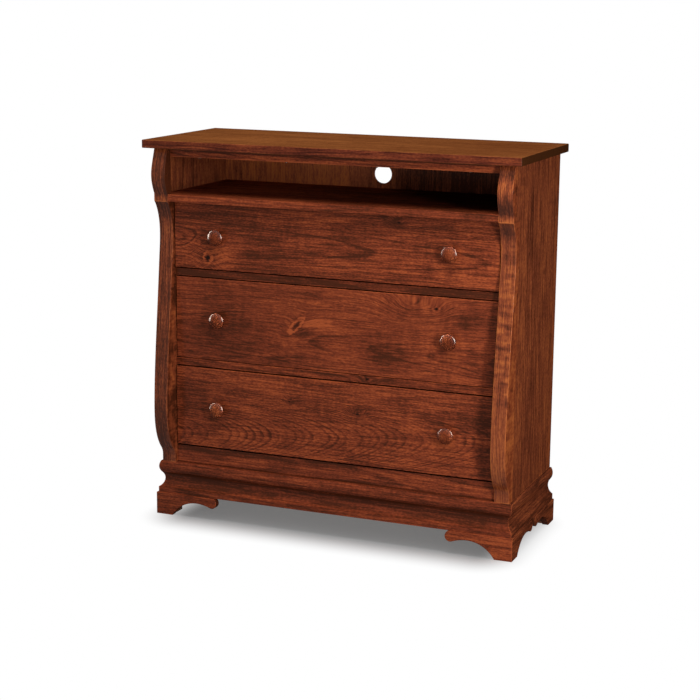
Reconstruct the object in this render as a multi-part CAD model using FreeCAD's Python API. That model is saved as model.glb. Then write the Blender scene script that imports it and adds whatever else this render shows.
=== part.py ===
import FreeCAD, Part
import math
import os

from FreeCAD import Vector

# Media chest: an overhanging top, an open bay with a shelf, and three drawers between S-shaped front posts,
# on a moulded base with bracket feet. Millimetres, +Z up, and the front faces -Y.
# The origin lies on the floor, under the middle of the top panel.

# Top panel
top_width = 1149.0
top_depth = 469.0
top_thickness = 24.0
top_ease = 2.5

# Case. The front line is the upright plane that front pieces are measured from, forwards and back.
side_overhang = 24.5
front_overhang = 60.0
panel_thickness = 19.0
panel_forward = 13.5
back_thickness = 6.0
back_inset = 3.0
back_rabbet = 10.0
back_play = 0.5
case_bottom_thickness = 19.0

# Open bay
bay_height = 135.5
shelf_thickness = 21.0
shelf_projection = 32.0
shelf_ease = 1.5
top_rail_height = 25.5
top_rail_thickness = 19.0
top_back_rail_depth = 45.0
cable_hole_diameter = 57.0
cable_hole_height = 43.0

# Front posts and scroll brackets. Projections are forward of the front line.
post_width = 44.5
post_root = 23.0
post_ease = 2.0
toe_height = 20.0
toe_projection = 5.0
belly_projection = 53.0
shoulder_projection = 33.5
bulge_projection = 52.0
bracket_top_projection = 30.0
# Height on the post, and projection as a share of the belly's, from the toe up to the shoulder
post_curve_shares = (
    (0.065, 0.385), (0.118, 0.81), (0.25, 1.0), (0.448, 0.765), (0.68, 0.36), (0.8, 0.16), (0.9, 0.083),
    (0.957, 0.27),
)
# Height in the bay, and projection as a share of the bulge's, from the shelf up to the top panel
bracket_curve_shares = ((0.15, 0.84), (0.42, 1.0), (0.68, 0.865))

# Rails and drawer fronts
bottom_rail_height = 53.5
rail_thickness = 22.0
rail_depth = 45.0
rail_setback = 6.5
rail_ease = 1.0
drawer_gap = 3.0
lower_under_gap = 4.5
middle_under_gap = 1.0
upper_under_gap = 3.0
side_gap = 3.0
front_stand = 4.0
front_thickness = 22.0
front_ease = 2.0
lower_drawer_height = 242.0
middle_drawer_height = 245.5
upper_drawer_height = 194.0
# The middle drawer shuts this much deeper than the others, just behind the rails.
middle_inset = 5.0

# Drawer boxes
box_thickness = 12.7
box_lift = 12.0
box_drop = 28.0
box_ease = 1.5
rear_clearance = 19.5
box_bottom_thickness = 6.0
box_bottom_height = 10.0
groove_depth = 6.0
groove_play = 0.1
tail_pitch = 33.0
tail_flare = 2.2
tail_root_share = 0.42

# Telescopic drawer slides: a channel on the case, one on the drawer and one between them
slide_thickness = 12.7
slide_height = 45.0
slide_sheet = 1.5
slide_play = 0.4
slide_setback = 3.0
cleat_height = 60.0

# Turned knobs
knob_spacing = 722.0
knob_diameter = 48.0
knob_projection = 30.0
knob_foot_diameter = 23.0
knob_neck_diameter = 17.0
knob_crown_diameter = 2.0
# Distance from the drawer as a share of the projection, for neck, underside, rim and shoulder of the head
knob_depth_shares = (0.24, 0.46, 0.63, 0.82)
# Radius as a share of the head's, for underside and shoulder
knob_radius_shares = (0.8, 0.84)

# Fasteners
knob_screw_diameter = 4.0
knob_screw_bite = 14.0
screw_diameter = 4.0
screw_bite = 14.0
head_diameter = 8.5
head_height = 2.5
screw_play = 0.05
back_screw_shares = (-0.84, -0.42, 0.0, 0.42, 0.84)
top_screw_shares = (-0.78, -0.26, 0.26, 0.78)

# Base moulding. Projections are outward of the case's side and of the front line.
moulding_back = 24.0
bead_height = 38.0
bead_projection = 10.2
bead_foot_projection = 2.0
cove_height = 43.5
cove_recess = 3.5
cove_foot_projection = 10.5
fillet_height = 16.5
fillet_projection = 11.5
bead_middle_share = 0.47
cove_middle_share = 0.44
base_back_rail_depth = 24.0

# Bracket feet
foot_height = 68.0
foot_thickness = 19.0
foot_projection = 16.4
foot_gap = 21.4
foot_floor_width = 53.0
foot_ease = 1.5
arch_web = 22.0
tip_drop = 10.0
arch_top_share = 0.615
brace_length = 130.0
brace_floor_width = 45.0
brace_tip_height = 22.0
block_width = 38.0
block_lift = 4.0

# Cuts run past the wood by this much, and coordinates closer than the tolerance count as equal.
overrun = 5.0
tolerance = 0.01

# Heights, from the floor up
base_height = bead_height + cove_height + fillet_height
case_floor = foot_height + base_height
bottom_rail_top = case_floor + bottom_rail_height
drawer_heights = {
    "lower": lower_drawer_height, "middle": middle_drawer_height, "upper": upper_drawer_height,
}
drawer_lows = {"lower": bottom_rail_top + lower_under_gap}
lower_rail_low = drawer_lows["lower"] + lower_drawer_height + drawer_gap
drawer_lows["middle"] = lower_rail_low + rail_thickness + middle_under_gap
upper_rail_low = drawer_lows["middle"] + middle_drawer_height + drawer_gap
drawer_lows["upper"] = upper_rail_low + rail_thickness + upper_under_gap
shelf_low = drawer_lows["upper"] + upper_drawer_height + drawer_gap
shelf_top = shelf_low + shelf_thickness
top_low = shelf_top + bay_height
post_height = shelf_low - case_floor

# Depths, from the front to the back
back = top_depth / 2
front_line = front_overhang - back
panel_front = front_line - panel_forward
post_back = front_line + post_root
rail_face = front_line + rail_setback
drawer_face = rail_face - front_stand
box_front = drawer_face + front_thickness
back_face = back - back_inset
back_inside = back_face - back_thickness
box_back = back_inside - rear_clearance
drawer_insets = {"lower": 0, "middle": middle_inset, "upper": 0}
slide_front = box_front + max(drawer_insets.values()) + slide_setback
slide_back = box_back - slide_setback
foot_front = front_line - foot_projection

# Half widths, from the middle outwards
case_half = top_width / 2 - side_overhang
panel_inside = case_half - panel_thickness
post_inside = case_half - post_width
front_half = post_inside - side_gap
box_half = post_inside - slide_thickness
box_inside = box_half - box_thickness
foot_half = case_half + foot_projection

# A foot bracket's tip is a full round, as thick as the web over the arch and what hangs below the arch.
foot_length = (back - foot_front - foot_gap) / 2
tip_radius = (arch_web + tip_drop) / 2
screw_length = top_rail_height + screw_bite

parts = {}


def board(x_span, y_span, z_span):
    """A rectangular board between the low and high value of each span."""
    corner = Vector(x_span[0], y_span[0], z_span[0])
    return Part.makeBox(x_span[1] - x_span[0], y_span[1] - y_span[0], z_span[1] - z_span[0], corner)


def mirrored(shape):
    """The same shape on the other side of the middle plane."""
    return shape.mirror(Vector(0, 0, 0), Vector(1, 0, 0))


def group(shapes):
    """Several separate solids as one node."""
    return Part.makeCompound(shapes)


def polygon_prism(points, sweep):
    """A prism over a closed polygon."""
    outline = Part.makePolygon(points + [points[0]])
    return Part.Face(outline).extrude(sweep)


def edge_prism(edges, sweep):
    """A prism over an outline of lines, arcs and curves."""
    return Part.Face(Part.Wire(edges)).extrude(sweep)


def line(start, end):
    """A straight edge."""
    return Part.LineSegment(start, end).toShape()


def arc(start, middle, end):
    """A circular edge through three points."""
    return Part.Arc(start, middle, end).toShape()


def curve(points, start_direction=None):
    """A smooth edge through the points, leaving the first in the given direction if there is one."""
    spline = Part.BSplineCurve()
    if start_direction is None:
        spline.interpolate(points)
    else:
        flags = [index == 0 for index in range(len(points))]
        directions = [start_direction] * len(points)
        spline.interpolate(Points=points, Tangents=directions, TangentFlags=flags)
    return spline.toShape()


def span_along(edge, axis):
    """The lowest and highest coordinate of an edge along the axis."""
    box = edge.BoundBox
    return {"x": (box.XMin, box.XMax), "y": (box.YMin, box.YMax), "z": (box.ZMin, box.ZMax)}[axis]


def lies_at(edge, axis, value):
    """Whether an edge lies in the plane of that coordinate."""
    low, high = span_along(edge, axis)
    return abs(low - value) < tolerance and abs(high - value) < tolerance


def eased(shape, radius, wanted):
    """The shape with the wanted edges rounded over."""
    edges = [edge for edge in shape.Edges if wanted(edge)]
    return shape.makeFillet(radius, edges)


def rod(diameter, start, direction, length):
    """A round bar."""
    return Part.makeCylinder(diameter / 2, length, start, direction)


def screw(start, direction, diameter, length):
    """A screw whose head stands on the surface at start and whose shank runs along the direction."""
    shank = rod(diameter, start, direction, length)
    head = rod(head_diameter, start, direction * -1, head_height)
    return shank.fuse(head).removeSplitter()


def drilled(shape, holes):
    """The shape with a hole for each shank, given as start, direction, diameter and length."""
    for start, direction, diameter, length in holes:
        hole_length = length + screw_play
        shape = shape.cut(rod(diameter + 2 * screw_play, start, direction, hole_length))
    return shape


def screw_holes():
    """Places of the screws that hold the back panel, and of those that hold the top panel."""
    back_heights = (
        case_floor + case_bottom_thickness / 2,
        shelf_low + shelf_thickness / 2,
        top_low - top_rail_height / 2,
    )
    back_holes = []
    for height in back_heights:
        for share in back_screw_shares:
            start = Vector(share * panel_inside, back_face, height)
            back_holes.append((start, Vector(0, -1, 0), screw_diameter, screw_length))
    rail_middles = (
        panel_front + top_rail_thickness / 2,
        back_inside - top_back_rail_depth / 2,
    )
    top_holes = []
    for depth in rail_middles:
        for share in top_screw_shares:
            start = Vector(share * panel_inside, depth, top_low - top_rail_height)
            top_holes.append((start, Vector(0, 0, 1), screw_diameter, screw_length))
    return back_holes, top_holes


def front_post(inner):
    """The S-shaped post: an upright toe, a belly and a cove that ends in the shoulder under the shelf."""
    def place(projection, height):
        return Vector(inner, front_line - projection, case_floor + height)

    toe_low = place(toe_projection, 0)
    toe_top = place(toe_projection, toe_height)
    shoulder = place(shoulder_projection, post_height)
    back_low = Vector(inner, post_back, case_floor)
    back_top = Vector(inner, post_back, shelf_low)
    points = [toe_top]
    for height_share, projection_share in post_curve_shares:
        points.append(place(projection_share * belly_projection, height_share * post_height))
    points.append(shoulder)
    outline = [
        line(back_low, toe_low), line(toe_low, toe_top), curve(points, Vector(0, 0, 1)),
        line(shoulder, back_top), line(back_top, back_low),
    ]
    post = edge_prism(outline, Vector(post_width, 0, 0))

    def front_arris(edge):
        upright = span_along(edge, "z")[1] - span_along(edge, "z")[0] > toe_height / 2
        forward = span_along(edge, "y")[0] < post_back - tolerance
        return upright and forward

    return eased(post, post_ease, front_arris)


def scroll_bracket(inner):
    """The bracket beside the bay: an upright foot as high as the shelf, under a swelling scroll."""
    def place(projection, height):
        return Vector(inner, front_line - projection, height)

    foot_low = place(shoulder_projection, shelf_low)
    foot_top = place(shoulder_projection, shelf_top)
    head = place(bracket_top_projection, top_low)
    back_low = place(panel_forward, shelf_low)
    back_top = place(panel_forward, top_low)
    points = [foot_top]
    for height_share, projection_share in bracket_curve_shares:
        points.append(place(projection_share * bulge_projection, shelf_top + height_share * bay_height))
    points.append(head)
    outline = [
        line(back_low, foot_low), line(foot_low, foot_top), curve(points), line(head, back_top),
        line(back_top, back_low),
    ]
    bracket = edge_prism(outline, Vector(post_width, 0, 0))

    def front_arris(edge):
        upright = span_along(edge, "z")[1] - span_along(edge, "z")[0] > shelf_thickness + tolerance
        forward = span_along(edge, "y")[0] < panel_front - tolerance
        return upright and forward

    return eased(bracket, post_ease, front_arris)


def side_panel():
    """The right side: notched under the shelf for the post, and rabbeted for the back panel."""
    outline = [
        Vector(panel_inside, post_back, case_floor), Vector(panel_inside, post_back, shelf_low),
        Vector(panel_inside, panel_front, shelf_low), Vector(panel_inside, panel_front, top_low),
        Vector(panel_inside, back, top_low), Vector(panel_inside, back, case_floor),
    ]
    panel = polygon_prism(outline, Vector(panel_thickness, 0, 0))
    rabbet = board(
        (panel_inside - overrun, panel_inside + back_rabbet), (back_inside, back + overrun),
        (case_floor - overrun, top_low + overrun),
    )
    return panel.cut(rabbet)


def media_shelf(holes):
    """The shelf: between the brackets in front, and between the side panels behind them."""
    shelf_front = front_line - shelf_projection
    outline = [
        Vector(-post_inside, shelf_front, shelf_low), Vector(post_inside, shelf_front, shelf_low),
        Vector(post_inside, panel_front, shelf_low), Vector(panel_inside, panel_front, shelf_low),
        Vector(panel_inside, back_inside, shelf_low), Vector(-panel_inside, back_inside, shelf_low),
        Vector(-panel_inside, panel_front, shelf_low), Vector(-post_inside, panel_front, shelf_low),
    ]
    shelf = polygon_prism(outline, Vector(0, 0, shelf_thickness))

    def front_edge(edge):
        return lies_at(edge, "y", shelf_front) and edge.Length > post_inside

    return drilled(eased(shelf, shelf_ease, front_edge), holes)


def back_panel(holes):
    """The thin back in the rabbets, with the round cable hole above the shelf."""
    half = panel_inside + back_rabbet - back_play
    panel = board((-half, half), (back_inside, back_face), (case_floor, top_low))
    hole_middle = Vector(0, back_inside - overrun, shelf_top + cable_hole_height)
    hole = rod(cable_hole_diameter, hole_middle, Vector(0, 1, 0), back_thickness + 2 * overrun)
    return drilled(panel.cut(hole), holes)


def drawer_rail(low):
    """A rail between two drawers."""
    rail_back = rail_face + rail_depth
    rail = board((-post_inside, post_inside), (rail_face, rail_back), (low, low + rail_thickness))
    return eased(rail, rail_ease, lambda edge: lies_at(edge, "y", rail_face) and edge.Length > post_inside)


def moulding_outline(place):
    """The base moulding's section, where place gives the point at a projection and a height."""
    bead_low = case_floor - bead_height
    fillet_top = foot_height + fillet_height
    back_top = place(-moulding_back, case_floor)
    bead_top = place(toe_projection, case_floor)
    bead_middle = place(bead_projection, case_floor - bead_middle_share * bead_height)
    bead_foot = place(bead_foot_projection, bead_low)
    cove_middle = place(-cove_recess, bead_low - cove_middle_share * cove_height)
    cove_foot = place(cove_foot_projection, fillet_top)
    fillet_high = place(fillet_projection, fillet_top)
    fillet_low = place(fillet_projection, foot_height)
    back_low = place(-moulding_back, foot_height)
    return [
        line(back_top, bead_top), arc(bead_top, bead_middle, bead_foot),
        arc(bead_foot, cove_middle, cove_foot), line(cove_foot, fillet_high),
        line(fillet_high, fillet_low), line(fillet_low, back_low), line(back_low, back_top),
    ]


def mitre_prism(corners, low, high):
    """An upright prism over corners given as x and y, which trims a piece to its mitres."""
    return polygon_prism([Vector(x, y, low) for x, y in corners], Vector(0, 0, high - low))


def front_moulding():
    """The moulding along the front, mitred at both ends."""
    reach = bead_projection + fillet_projection + overrun
    start = -case_half - reach
    section = moulding_outline(lambda out, height: Vector(start, front_line - out, height))
    length = edge_prism(section, Vector(2 * (case_half + reach), 0, 0))
    inner = moulding_back + overrun
    corners = [
        (-case_half - reach, front_line - reach), (case_half + reach, front_line - reach),
        (case_half - inner, front_line + inner), (-case_half + inner, front_line + inner),
    ]
    return length.common(mitre_prism(corners, foot_height - overrun, case_floor + overrun))


def side_moulding():
    """The moulding along the right side, mitred in front and square at the back."""
    reach = bead_projection + fillet_projection + overrun
    start = front_line - reach
    section = moulding_outline(lambda out, height: Vector(case_half + out, start, height))
    length = edge_prism(section, Vector(0, back - start, 0))
    inner = moulding_back + overrun
    corners = [
        (case_half + reach, front_line - reach), (case_half + reach, back + overrun),
        (case_half - inner, back + overrun), (case_half - inner, front_line + inner),
    ]
    return length.common(mitre_prism(corners, foot_height - overrun, case_floor + overrun))


def foot_outline(place):
    """A foot bracket's scalloped outline, where place gives the point at a distance from the corner."""
    arch_rise = foot_height - arch_web
    tip_middle = foot_length - tip_radius
    arch_run = arch_top_share * (tip_middle - foot_floor_width)
    arch_top = foot_floor_width + arch_run
    tip_height = foot_height - tip_radius
    rise_radius = (arch_run ** 2 + arch_rise ** 2) / (2 * arch_rise)
    rise_angle = math.asin(arch_run / rise_radius) / 2
    run = tip_middle - arch_top
    lift = tip_height - arch_rise
    fall_radius = (run ** 2 + lift ** 2 - tip_radius ** 2) / (2 * tip_drop)
    fall_angle = math.atan2(run, lift + fall_radius)

    def on_rise(angle):
        return place(
            arch_top - rise_radius * math.sin(angle), arch_rise - rise_radius * (1 - math.cos(angle)),
        )

    def on_fall(angle):
        return place(
            arch_top + fall_radius * math.sin(angle), arch_rise - fall_radius * (1 - math.cos(angle)),
        )

    corner_low = place(0, 0)
    floor_end = place(foot_floor_width, 0)
    peak = place(arch_top, arch_rise)
    tip_start = on_fall(fall_angle)
    tip_end = place(foot_length, tip_height)
    tip_top = place(tip_middle, foot_height)
    corner_top = place(0, foot_height)
    return [
        line(corner_low, floor_end), arc(floor_end, on_rise(rise_angle), peak),
        arc(peak, on_fall(fall_angle / 2), tip_start), arc(tip_start, tip_end, tip_top),
        line(tip_top, corner_top), line(corner_top, corner_low),
    ]


def is_outline_edge(edge, axis, value):
    """Whether an edge belongs to a foot bracket's outline in its outer face, below its top."""
    return lies_at(edge, axis, value) and span_along(edge, "z")[0] < foot_height - tolerance


def foot_front_bracket():
    """The right front foot's front bracket, mitred at the corner."""
    section = foot_outline(lambda along, height: Vector(foot_half - along, foot_front, height))
    bracket = edge_prism(section, Vector(0, foot_thickness, 0))
    inner = foot_thickness + overrun
    corners = [
        (foot_half, foot_front), (foot_half - inner, foot_front + inner),
        (foot_half - inner - foot_length, foot_front + inner), (foot_half - inner - foot_length, foot_front),
    ]
    bracket = bracket.common(mitre_prism(corners, -overrun, foot_height + overrun))

    def outline_edge(edge):
        return is_outline_edge(edge, "y", foot_front) and span_along(edge, "x")[0] < foot_half - tolerance

    return eased(bracket, foot_ease, outline_edge)


def foot_side_bracket():
    """The right front foot's side bracket, mitred at the corner."""
    section = foot_outline(lambda along, height: Vector(foot_half, foot_front + along, height))
    bracket = edge_prism(section, Vector(-foot_thickness, 0, 0))
    inner = foot_thickness + overrun
    corners = [
        (foot_half, foot_front), (foot_half, foot_front + inner + foot_length),
        (foot_half - inner, foot_front + inner + foot_length), (foot_half - inner, foot_front + inner),
    ]
    bracket = bracket.common(mitre_prism(corners, -overrun, foot_height + overrun))

    def outline_edge(edge):
        return is_outline_edge(edge, "x", foot_half) and span_along(edge, "y")[1] > foot_front + tolerance

    return eased(bracket, foot_ease, outline_edge)


def rear_foot_bracket():
    """The right rear foot's side bracket, square at the back."""
    section = foot_outline(lambda along, height: Vector(foot_half, back - along, height))
    bracket = edge_prism(section, Vector(-foot_thickness, 0, 0))

    def outline_edge(edge):
        return is_outline_edge(edge, "x", foot_half) and span_along(edge, "y")[0] < back - tolerance

    return eased(bracket, foot_ease, outline_edge)


def rear_foot_brace():
    """The plain board behind the right rear foot, with a slanted lower edge."""
    outer = foot_half - foot_thickness
    start = back - foot_thickness
    outline = [
        Vector(outer, start, 0), Vector(outer, start, foot_height),
        Vector(outer - brace_length, start, foot_height),
        Vector(outer - brace_length, start, foot_height - brace_tip_height),
        Vector(outer - brace_floor_width, start, 0),
    ]
    return polygon_prism(outline, Vector(0, foot_thickness, 0))


def glue_blocks():
    """A block in the inner corner of each foot on the right side."""
    outer = foot_half - foot_thickness
    front = foot_front + foot_thickness
    rear = back - foot_thickness
    x_span = (outer - block_width, outer)
    z_span = (block_lift, foot_height)
    return [
        board(x_span, (front, front + block_width), z_span),
        board(x_span, (rear - block_width, rear), z_span),
    ]


def turned_knob(middle):
    """A mushroom knob on a drawer face: foot, neck, rounded rim and a shallow dome, bored for its screw."""
    neck_depth, under_depth, rim_depth, shoulder_depth = [
        share * knob_projection for share in knob_depth_shares
    ]
    head_radius = knob_diameter / 2
    under_radius, shoulder_radius = [share * head_radius for share in knob_radius_shares]
    dome_share = 0.5
    dome_radius = dome_share * shoulder_radius
    dome_depth = knob_projection - dome_share ** 2 * (knob_projection - shoulder_depth)

    def place(radius, depth):
        return middle + Vector(radius, -depth, 0)

    foot = place(knob_foot_diameter / 2, 0)
    under = place(under_radius, under_depth)
    shoulder = place(shoulder_radius, shoulder_depth)
    crown_edge = place(knob_crown_diameter / 2, knob_projection)
    crown = place(0, knob_projection)
    outline = [
        line(middle, foot), arc(foot, place(knob_neck_diameter / 2, neck_depth), under),
        arc(under, place(head_radius, rim_depth), shoulder),
        arc(shoulder, place(dome_radius, dome_depth), crown_edge), line(crown_edge, crown),
        line(crown, middle),
    ]
    knob = Part.Face(Part.Wire(outline)).revolve(middle, Vector(0, -1, 0), 360)
    return drilled(knob, [(middle, Vector(0, -1, 0), knob_screw_diameter, knob_screw_bite)])


def tail_ends(low, high, root, end):
    """Points of the dovetails on a box side's end, from low to high: their root and end along Y."""
    count = max(2, round((high - low) / tail_pitch))
    pitch = (high - low) / count
    half_root = tail_root_share * pitch / 2
    points = []
    for index in range(count):
        middle = low + (index + 0.5) * pitch
        points += [
            (root, middle - half_root), (end, middle - half_root - tail_flare),
            (end, middle + half_root + tail_flare), (root, middle + half_root),
        ]
    return points


def box_side(low, high):
    """The right side of a drawer box, dovetailed at both ends."""
    front_points = tail_ends(low, high, box_front + box_thickness, box_front)
    back_points = tail_ends(low, high, box_back - box_thickness, box_back)
    front_root = box_front + box_thickness
    back_root = box_back - box_thickness
    outline = [(front_root, low)] + front_points + [(front_root, high), (back_root, high)]
    outline += back_points[::-1] + [(back_root, low)]
    return polygon_prism([Vector(box_inside, y, z) for y, z in outline], Vector(box_thickness, 0, 0))


def channel(outer, web, open_end, half_height, front, rear):
    """A C channel along Y: its web between outer and web, its lips reaching to open_end."""
    lips = board(
        (min(outer, open_end), max(outer, open_end)), (front, rear), (-half_height, half_height),
    )
    hollow = board(
        (min(web, open_end), max(web, open_end)), (front - overrun, rear + overrun),
        (slide_sheet - half_height, half_height - slide_sheet),
    )
    past = overrun if open_end > web else -overrun
    mouth = board(
        (min(open_end, open_end + past), max(open_end, open_end + past)), (front - overrun, rear + overrun),
        (slide_sheet - half_height, half_height - slide_sheet),
    )
    return lips.cut(hollow).cut(mouth)


def slide_channels():
    """The right slide's three channels, around height zero: on the case, between, and on the drawer."""
    step = slide_sheet + slide_play
    half = slide_height / 2
    case_channel = channel(
        post_inside, post_inside - slide_sheet, box_half + slide_play, half, slide_front, slide_back,
    )
    middle_channel = channel(
        post_inside - step, post_inside - step - slide_sheet, box_half + slide_play, half - step,
        slide_front, slide_back,
    )
    drawer_channel = channel(
        box_half, box_half + slide_sheet, post_inside - 2 * step, half - 2 * step, slide_front, slide_back,
    )
    return case_channel, middle_channel, drawer_channel


def pair_at(shape, height, inset=0):
    """A shape on the right, lifted to a height and set deeper by the inset, and its twin on the left."""
    lifted = shape.translated(Vector(0, inset, height))
    return [lifted, mirrored(lifted)]


def drawer(name, low, height, inset):
    """One drawer: applied front, dovetailed box, knobs and their screws. Returns the slides' height."""
    pieces = {}
    high = low + height
    middle = (low + high) / 2
    box_low = low + box_lift
    box_high = high - box_drop
    bottom_low = box_low + box_bottom_height
    knob_places = [Vector(side * knob_spacing / 2, drawer_face, middle) for side in (-1, 1)]
    screw_length_here = box_thickness + front_thickness + knob_screw_bite
    screw_start = box_front + box_thickness
    knob_holes = [
        (Vector(at.x, screw_start, at.z), Vector(0, -1, 0), knob_screw_diameter, screw_length_here)
        for at in knob_places
    ]

    face = board((-front_half, front_half), (drawer_face, box_front), (low, high))
    face = eased(face, front_ease, lambda edge: lies_at(edge, "y", drawer_face))
    pieces["front"] = drilled(face, knob_holes)

    side = box_side(box_low, box_high)
    other_side = mirrored(side)
    groove_half = box_inside + groove_depth
    groove_front = box_front + box_thickness - groove_depth
    groove_back = box_back - box_thickness + groove_depth
    groove = board(
        (-groove_half - groove_play, groove_half + groove_play), (groove_front, groove_back),
        (bottom_low - groove_play, bottom_low + box_bottom_thickness + groove_play),
    )
    box_face = board((-box_half, box_half), (box_front, box_front + box_thickness), (box_low, box_high))
    box_rear = board((-box_half, box_half), (box_back - box_thickness, box_back), (box_low, box_high))
    pieces["box_front"] = drilled(box_face.cut(side).cut(other_side).cut(groove), knob_holes)
    pieces["box_back"] = box_rear.cut(side).cut(other_side).cut(groove)
    side = eased(side.cut(groove), box_ease, lambda edge: lies_at(edge, "z", box_high) and long_edge(edge))
    pieces["box_right_side"] = side
    pieces["box_left_side"] = mirrored(side)
    pieces["box_bottom"] = board(
        (-groove_half, groove_half), (groove_front, groove_back),
        (bottom_low, bottom_low + box_bottom_thickness),
    )
    pieces["knobs"] = group([turned_knob(at) for at in knob_places])
    pieces["knob_screws"] = group([screw(*hole) for hole in knob_holes])
    for piece, shape in pieces.items():
        parts[name + "_" + piece] = shape.translated(Vector(0, inset, 0))
    return (box_low + box_high) / 2


def long_edge(edge):
    """Whether an edge runs along most of a drawer box's depth."""
    return span_along(edge, "y")[1] - span_along(edge, "y")[0] > (box_back - box_front) / 2


back_holes, top_holes = screw_holes()

top_span = (top_low, top_low + top_thickness)
top_panel = board((-top_width / 2, top_width / 2), (-back, back), top_span)
parts["top_panel"] = drilled(eased(top_panel, top_ease, lambda edge: True), top_holes)

parts["right_side_panel"] = side_panel()
parts["left_side_panel"] = mirrored(parts["right_side_panel"])
parts["right_front_post"] = front_post(post_inside)
parts["left_front_post"] = mirrored(parts["right_front_post"])
parts["right_scroll_bracket"] = scroll_bracket(post_inside)
parts["left_scroll_bracket"] = mirrored(parts["right_scroll_bracket"])

top_rail_span = (top_low - top_rail_height, top_low)
inside_span = (-panel_inside, panel_inside)
top_front_rail = board(inside_span, (panel_front, panel_front + top_rail_thickness), top_rail_span)
parts["top_front_rail"] = drilled(top_front_rail, top_holes)
top_back_rail = board(inside_span, (back_inside - top_back_rail_depth, back_inside), top_rail_span)
parts["top_back_rail"] = drilled(top_back_rail, top_holes + back_holes)
parts["media_shelf"] = media_shelf(back_holes)
parts["back_panel"] = back_panel(back_holes)

parts["lower_drawer_rail"] = drawer_rail(lower_rail_low)
parts["upper_drawer_rail"] = drawer_rail(upper_rail_low)
bottom_rail_back = rail_face + rail_thickness
post_span = (-post_inside, post_inside)
parts["bottom_rail"] = board(post_span, (rail_face, bottom_rail_back), (case_floor, bottom_rail_top))
case_bottom = board(
    inside_span, (bottom_rail_back, back_inside), (case_floor, case_floor + case_bottom_thickness),
)
parts["case_bottom"] = drilled(case_bottom, back_holes)
parts["case_screws"] = group([screw(*hole) for hole in back_holes + top_holes])

parts["front_base_moulding"] = front_moulding()
parts["right_base_moulding"] = side_moulding()
parts["left_base_moulding"] = mirrored(parts["right_base_moulding"])
moulding_inside = case_half - moulding_back
parts["base_back_rail"] = board(
    (-moulding_inside, moulding_inside), (back - base_back_rail_depth, back), (foot_height, case_floor),
)
parts["right_foot_front_bracket"] = foot_front_bracket()
parts["left_foot_front_bracket"] = mirrored(parts["right_foot_front_bracket"])
parts["right_foot_side_bracket"] = foot_side_bracket()
parts["left_foot_side_bracket"] = mirrored(parts["right_foot_side_bracket"])
parts["right_rear_foot_bracket"] = rear_foot_bracket()
parts["left_rear_foot_bracket"] = mirrored(parts["right_rear_foot_bracket"])
parts["rear_foot_braces"] = group(pair_at(rear_foot_brace(), 0))
parts["foot_glue_blocks"] = group([twin for block in glue_blocks() for twin in pair_at(block, 0)])

case_channel, middle_channel, drawer_channel = slide_channels()
cleat = board((post_inside, panel_inside), (post_back, slide_back), (-cleat_height / 2, cleat_height / 2))
case_channels = []
cleats = []
for drawer_name, height in drawer_heights.items():
    inset = drawer_insets[drawer_name]
    slide_at = drawer(drawer_name + "_drawer", drawer_lows[drawer_name], height, inset)
    case_channels += pair_at(case_channel, slide_at)
    cleats += pair_at(cleat, slide_at)
    parts[drawer_name + "_slide_middle_channels"] = group(pair_at(middle_channel, slide_at, inset / 2))
    parts[drawer_name + "_slide_drawer_channels"] = group(pair_at(drawer_channel, slide_at, inset))
parts["slide_case_channels"] = group(case_channels)
parts["slide_cleats"] = group(cleats)

os.makedirs("parts", exist_ok=True)
for node, shape in parts.items():
    shape.exportStep("parts/" + node + ".step")
    print(node, len(shape.Solids), round(shape.Volume), shape.isValid())
print(len(parts), "nodes, height", top_span[1])
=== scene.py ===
"""Looks of the media chest: knotty stained wood, maple drawer boxes, zinc slides and a plain studio."""

import logging
import math
from dataclasses import asdict, dataclass, replace
from enum import Enum
from typing import Dict, List, Mapping, NamedTuple, Optional, Sequence, Tuple, Union

import bpy
from mathutils import Matrix, Vector


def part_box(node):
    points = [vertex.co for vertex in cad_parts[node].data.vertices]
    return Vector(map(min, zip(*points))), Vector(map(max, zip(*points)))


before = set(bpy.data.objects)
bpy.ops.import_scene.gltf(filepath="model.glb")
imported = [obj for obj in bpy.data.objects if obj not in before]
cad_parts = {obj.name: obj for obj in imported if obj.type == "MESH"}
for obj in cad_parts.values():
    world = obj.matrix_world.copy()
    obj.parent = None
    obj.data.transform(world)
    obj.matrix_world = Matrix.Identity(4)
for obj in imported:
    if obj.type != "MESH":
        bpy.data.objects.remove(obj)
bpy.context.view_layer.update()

LOG = logging.getLogger("media_chest")
Triple = Tuple[float, float, float]
Colour = Tuple[float, float, float, float]
Socket = bpy.types.NodeSocket
Value = Union[float, Sequence[float], Socket]
Effects = Mapping[str, bpy.types.NodeTree]


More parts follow.
